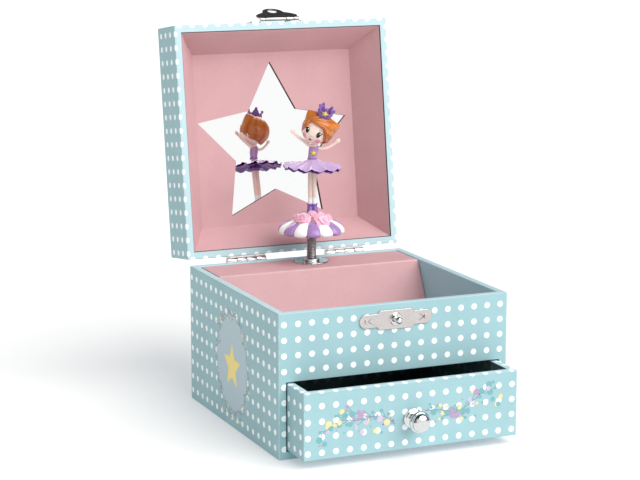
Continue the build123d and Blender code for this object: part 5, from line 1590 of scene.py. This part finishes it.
class BOX_OT_hair(bpy.types.Operator):
    """Bobbed hair with a side-swept fringe and two pointed puffs"""
    bl_idname = "box.hair"
    bl_label = "Hair"
    bl_options = {"REGISTER", "UNDO"}
    HALVES = (10.5, 10.2, 10.4)
    INNER = 5.6
    PUFFS = [(-11.0, 0.4, 8.2), (10.8, 0.4, 6.6)]
    PARTING = (-6.8, 4.6)
    BOTTOM = -6.0
    NAPE = 3.6
    PUFF_OUT = 3.5
    PUFF_SPREAD = 0.52
    EDGE_STEEP = 4.2
    ROLL = 0.35
    RELIEF = 0.2
    ROWS = 130
    SIDES = 190

    def window(self, spot):
        """How far inside the opening for the face and neck a point is; negative on the hair."""
        x, y, z = spot
        top = 2.6 - 0.13 * x - z
        left = x + 7.45 + 0.09 * (3 - z)
        right = 4.5 - 0.36 * z - x
        front = soft_min(soft_min(top, right, 1.6), left, 0.6)
        front = min(front, -1.5 - y)
        under = self.BOTTOM - self.NAPE * max(0.0, min(1.0, (y + 2.0) / 5.0)) - z
        return max(front, under)

    def radius(self, way):
        base = 1 / sqrt(sum((c / h) ** 2 for c, h in zip(way, self.HALVES)))
        spot = way * base
        for puff in self.PUFFS:
            apart = way.angle(Vector(puff))
            base += self.PUFF_OUT * max(0.0, 1 - apart / self.PUFF_SPREAD) ** 1.5
        base += self.strand(way, spot)[0]
        lift = self.window(spot)
        edge = 1 / (1 + exp(-lift * self.EDGE_STEEP))
        roll = self.ROLL * exp(-((lift + 0.9) / 0.7) ** 2)
        return (base + roll) * (1 - edge) + self.INNER * edge

    def strand(self, way, spot):
        """Relief of the combed strands: they fan from the parting in front and from the crown behind."""
        front = min(1.0, max(0.0, (-spot.y + 1.0) / 5.0))
        fan = atan2(spot.z - self.PARTING[1], spot.x - self.PARTING[0])
        round_top = atan2(way.y, way.x)
        wave = sin(17 * fan + 0.7 * sin(3 * fan)) * front
        wave += sin(11 * round_top + 1.6 * sin(2 * round_top + way.z * 2.5)) * (0.75 - 0.75 * front)
        fine = 0.4 * sin(41 * (fan * front + round_top * (1 - front)) + 1.3)
        calm = min(1.0, 3.0 * (1 - abs(way.z)) + 0.2)
        return self.RELIEF * (wave + fine) * calm, wave

    def execute(self, context):
        rings = ball_rings(self.radius, self.ROWS, self.SIDES)
        hollow = []
        for ring in rings:
            for spot in ring:
                # painted shade: darker in the grooves between strands and low down on the hair
                groove = max(0.0, -self.strand(spot.normalized(), spot)[1]) * 0.45
                low = min(1.0, max(0.0, (4.0 - spot.z) / 13.0)) * 0.55
                hollow.append(min(1.0, groove + low))
        hair = Shape()
        hair.skin(placed(rings, HEAD))
        hair.hollow = hollow + [0.2, 0.2]
        make("combed_hair", hair, ["hair"], "dancer", "orange_resin", ["figure_hair"])
        return {"FINISHED"}


def soft_min(a, b, blend):
    """The smaller of two values, rounded where they cross."""
    share = max(0.0, min(1.0, 0.5 + 0.5 * (b - a) / blend))
    return b + (a - b) * share - blend * share * (1 - share)


class BOX_OT_crown(bpy.types.Operator):
    """Crown of five knobbed points with a star"""
    bl_idname = "box.crown"
    bl_label = "Crown"
    bl_options = {"REGISTER", "UNDO"}
    POINTS = 5
    LOW_R = 4.4
    TOP_R = 5.5
    THICK = 1.1
    BAND = 3.5
    TALL = 6.5
    SIDES = 160
    SEAT = (-0.6, -2.4, 8.6)
    SEAT_LEAN = radians(10)
    WALL_ROWS = (0.0, 0.25, 0.5, 0.75, 0.97)
    STAR_PAINT = 1
    STAR_OUT = 0.45
    STAR_UP = 3.5
    STAR_LEAN = 0.16

    def execute(self, context):
        place = HEAD @ Matrix.Translation(self.SEAT) @ Matrix.Rotation(self.SEAT_LEAN, 4, "X")
        crown = Shape()
        rings = []
        spans = [(0.0, share) for share in self.WALL_ROWS] + [(0.5, 1.03)]
        spans += [(1.0, share) for share in self.WALL_ROWS[::-1]]
        for inward, share in spans:
            ring = []
            for turn in turns(self.SIDES):
                peak = max(0.0, cos(self.POINTS * (turn + pi / 2) / 2) ** 2) ** 0.9
                height = (self.BAND + (self.TALL - self.BAND) * peak) * share
                out = self.LOW_R + (self.TOP_R - self.LOW_R) * height / self.TALL - inward * self.THICK
                ring.append(place @ Vector((out * cos(turn), out * sin(turn), height)))
            rings.append(ring)
        crown.skin(rings)
        for k in range(self.POINTS):
            turn = 2 * pi * k / self.POINTS - pi / 2
            tip = ((self.TOP_R - 0.4) * cos(turn), (self.TOP_R - 0.4) * sin(turn), self.TALL + 0.1)
            crown.skin(placed(ellipsoid_rings(tip, (1.0, 1.0, 1.05), 12, 16), place))
        for up in (0.35, self.BAND - 0.5):
            out = self.LOW_R + 0.1 + (self.TOP_R - self.LOW_R) * up / self.TALL
            loop = [place @ Vector((out * cos(a), out * sin(a), up)) for a in turns(64, closed=True)]
            crown.tube(loop, 0.28, 8)
        upright = Matrix.Rotation(pi / 2 + self.STAR_LEAN, 4, "X")
        front = place @ Matrix.Translation((0.0, -self.LOW_R - self.STAR_OUT, self.STAR_UP)) @ upright
        crown.slab(star_outline(2.3, 1.05), -0.5, 0.5, front, self.STAR_PAINT)
        make("knobbed_crown", crown, ["crown", "gold_paint"], "dancer", "purple_resin", ["figure_crown"])
        return {"FINISHED"}


MAKERS = [
    BOX_OT_stage, BOX_OT_body, BOX_OT_lid, BOX_OT_drawer, BOX_OT_linings, BOX_OT_garland, BOX_OT_ovals,
    BOX_OT_fittings, BOX_OT_knob, BOX_OT_clockwork, BOX_OT_spring, BOX_OT_dome, BOX_OT_roses,
    BOX_OT_legs, BOX_OT_skirt, BOX_OT_bodice, BOX_OT_arms, BOX_OT_head, BOX_OT_hair, BOX_OT_crown,
]


class BOX_PT_panel(bpy.types.Panel):
    """Lists the makers in the sidebar"""
    bl_idname = "BOX_PT_panel"
    bl_label = "Jewellery Box"
    bl_space_type = "VIEW_3D"
    bl_region_type = "UI"
    bl_category = "Jewellery Box"

    def draw(self, context):
        for maker in MAKERS:
            self.layout.operator(maker.bl_idname)
        for name in SETTINGS:
            group = getattr(context.scene, name)
            column = self.layout.column()
            for key in group.bl_rna.properties.keys():
                if key not in ("rna_type", "name"):
                    column.prop(group, key)


def register():
    for name, group in SETTINGS.items():
        bpy.utils.register_class(group)
        setattr(bpy.types.Scene, name, PointerProperty(type=group))
    for maker in MAKERS:
        bpy.utils.register_class(maker)
    bpy.utils.register_class(BOX_PT_panel)


def unregister():
    bpy.utils.unregister_class(BOX_PT_panel)
    for maker in reversed(MAKERS):
        bpy.utils.unregister_class(maker)
    for name, group in reversed(list(SETTINGS.items())):
        delattr(bpy.types.Scene, name)
        bpy.utils.unregister_class(group)


def main():
    register()
    for maker in MAKERS:
        group, name = maker.bl_idname.split(".")
        getattr(getattr(bpy.ops, group), name)()


if __name__ == "__main__":
    main()
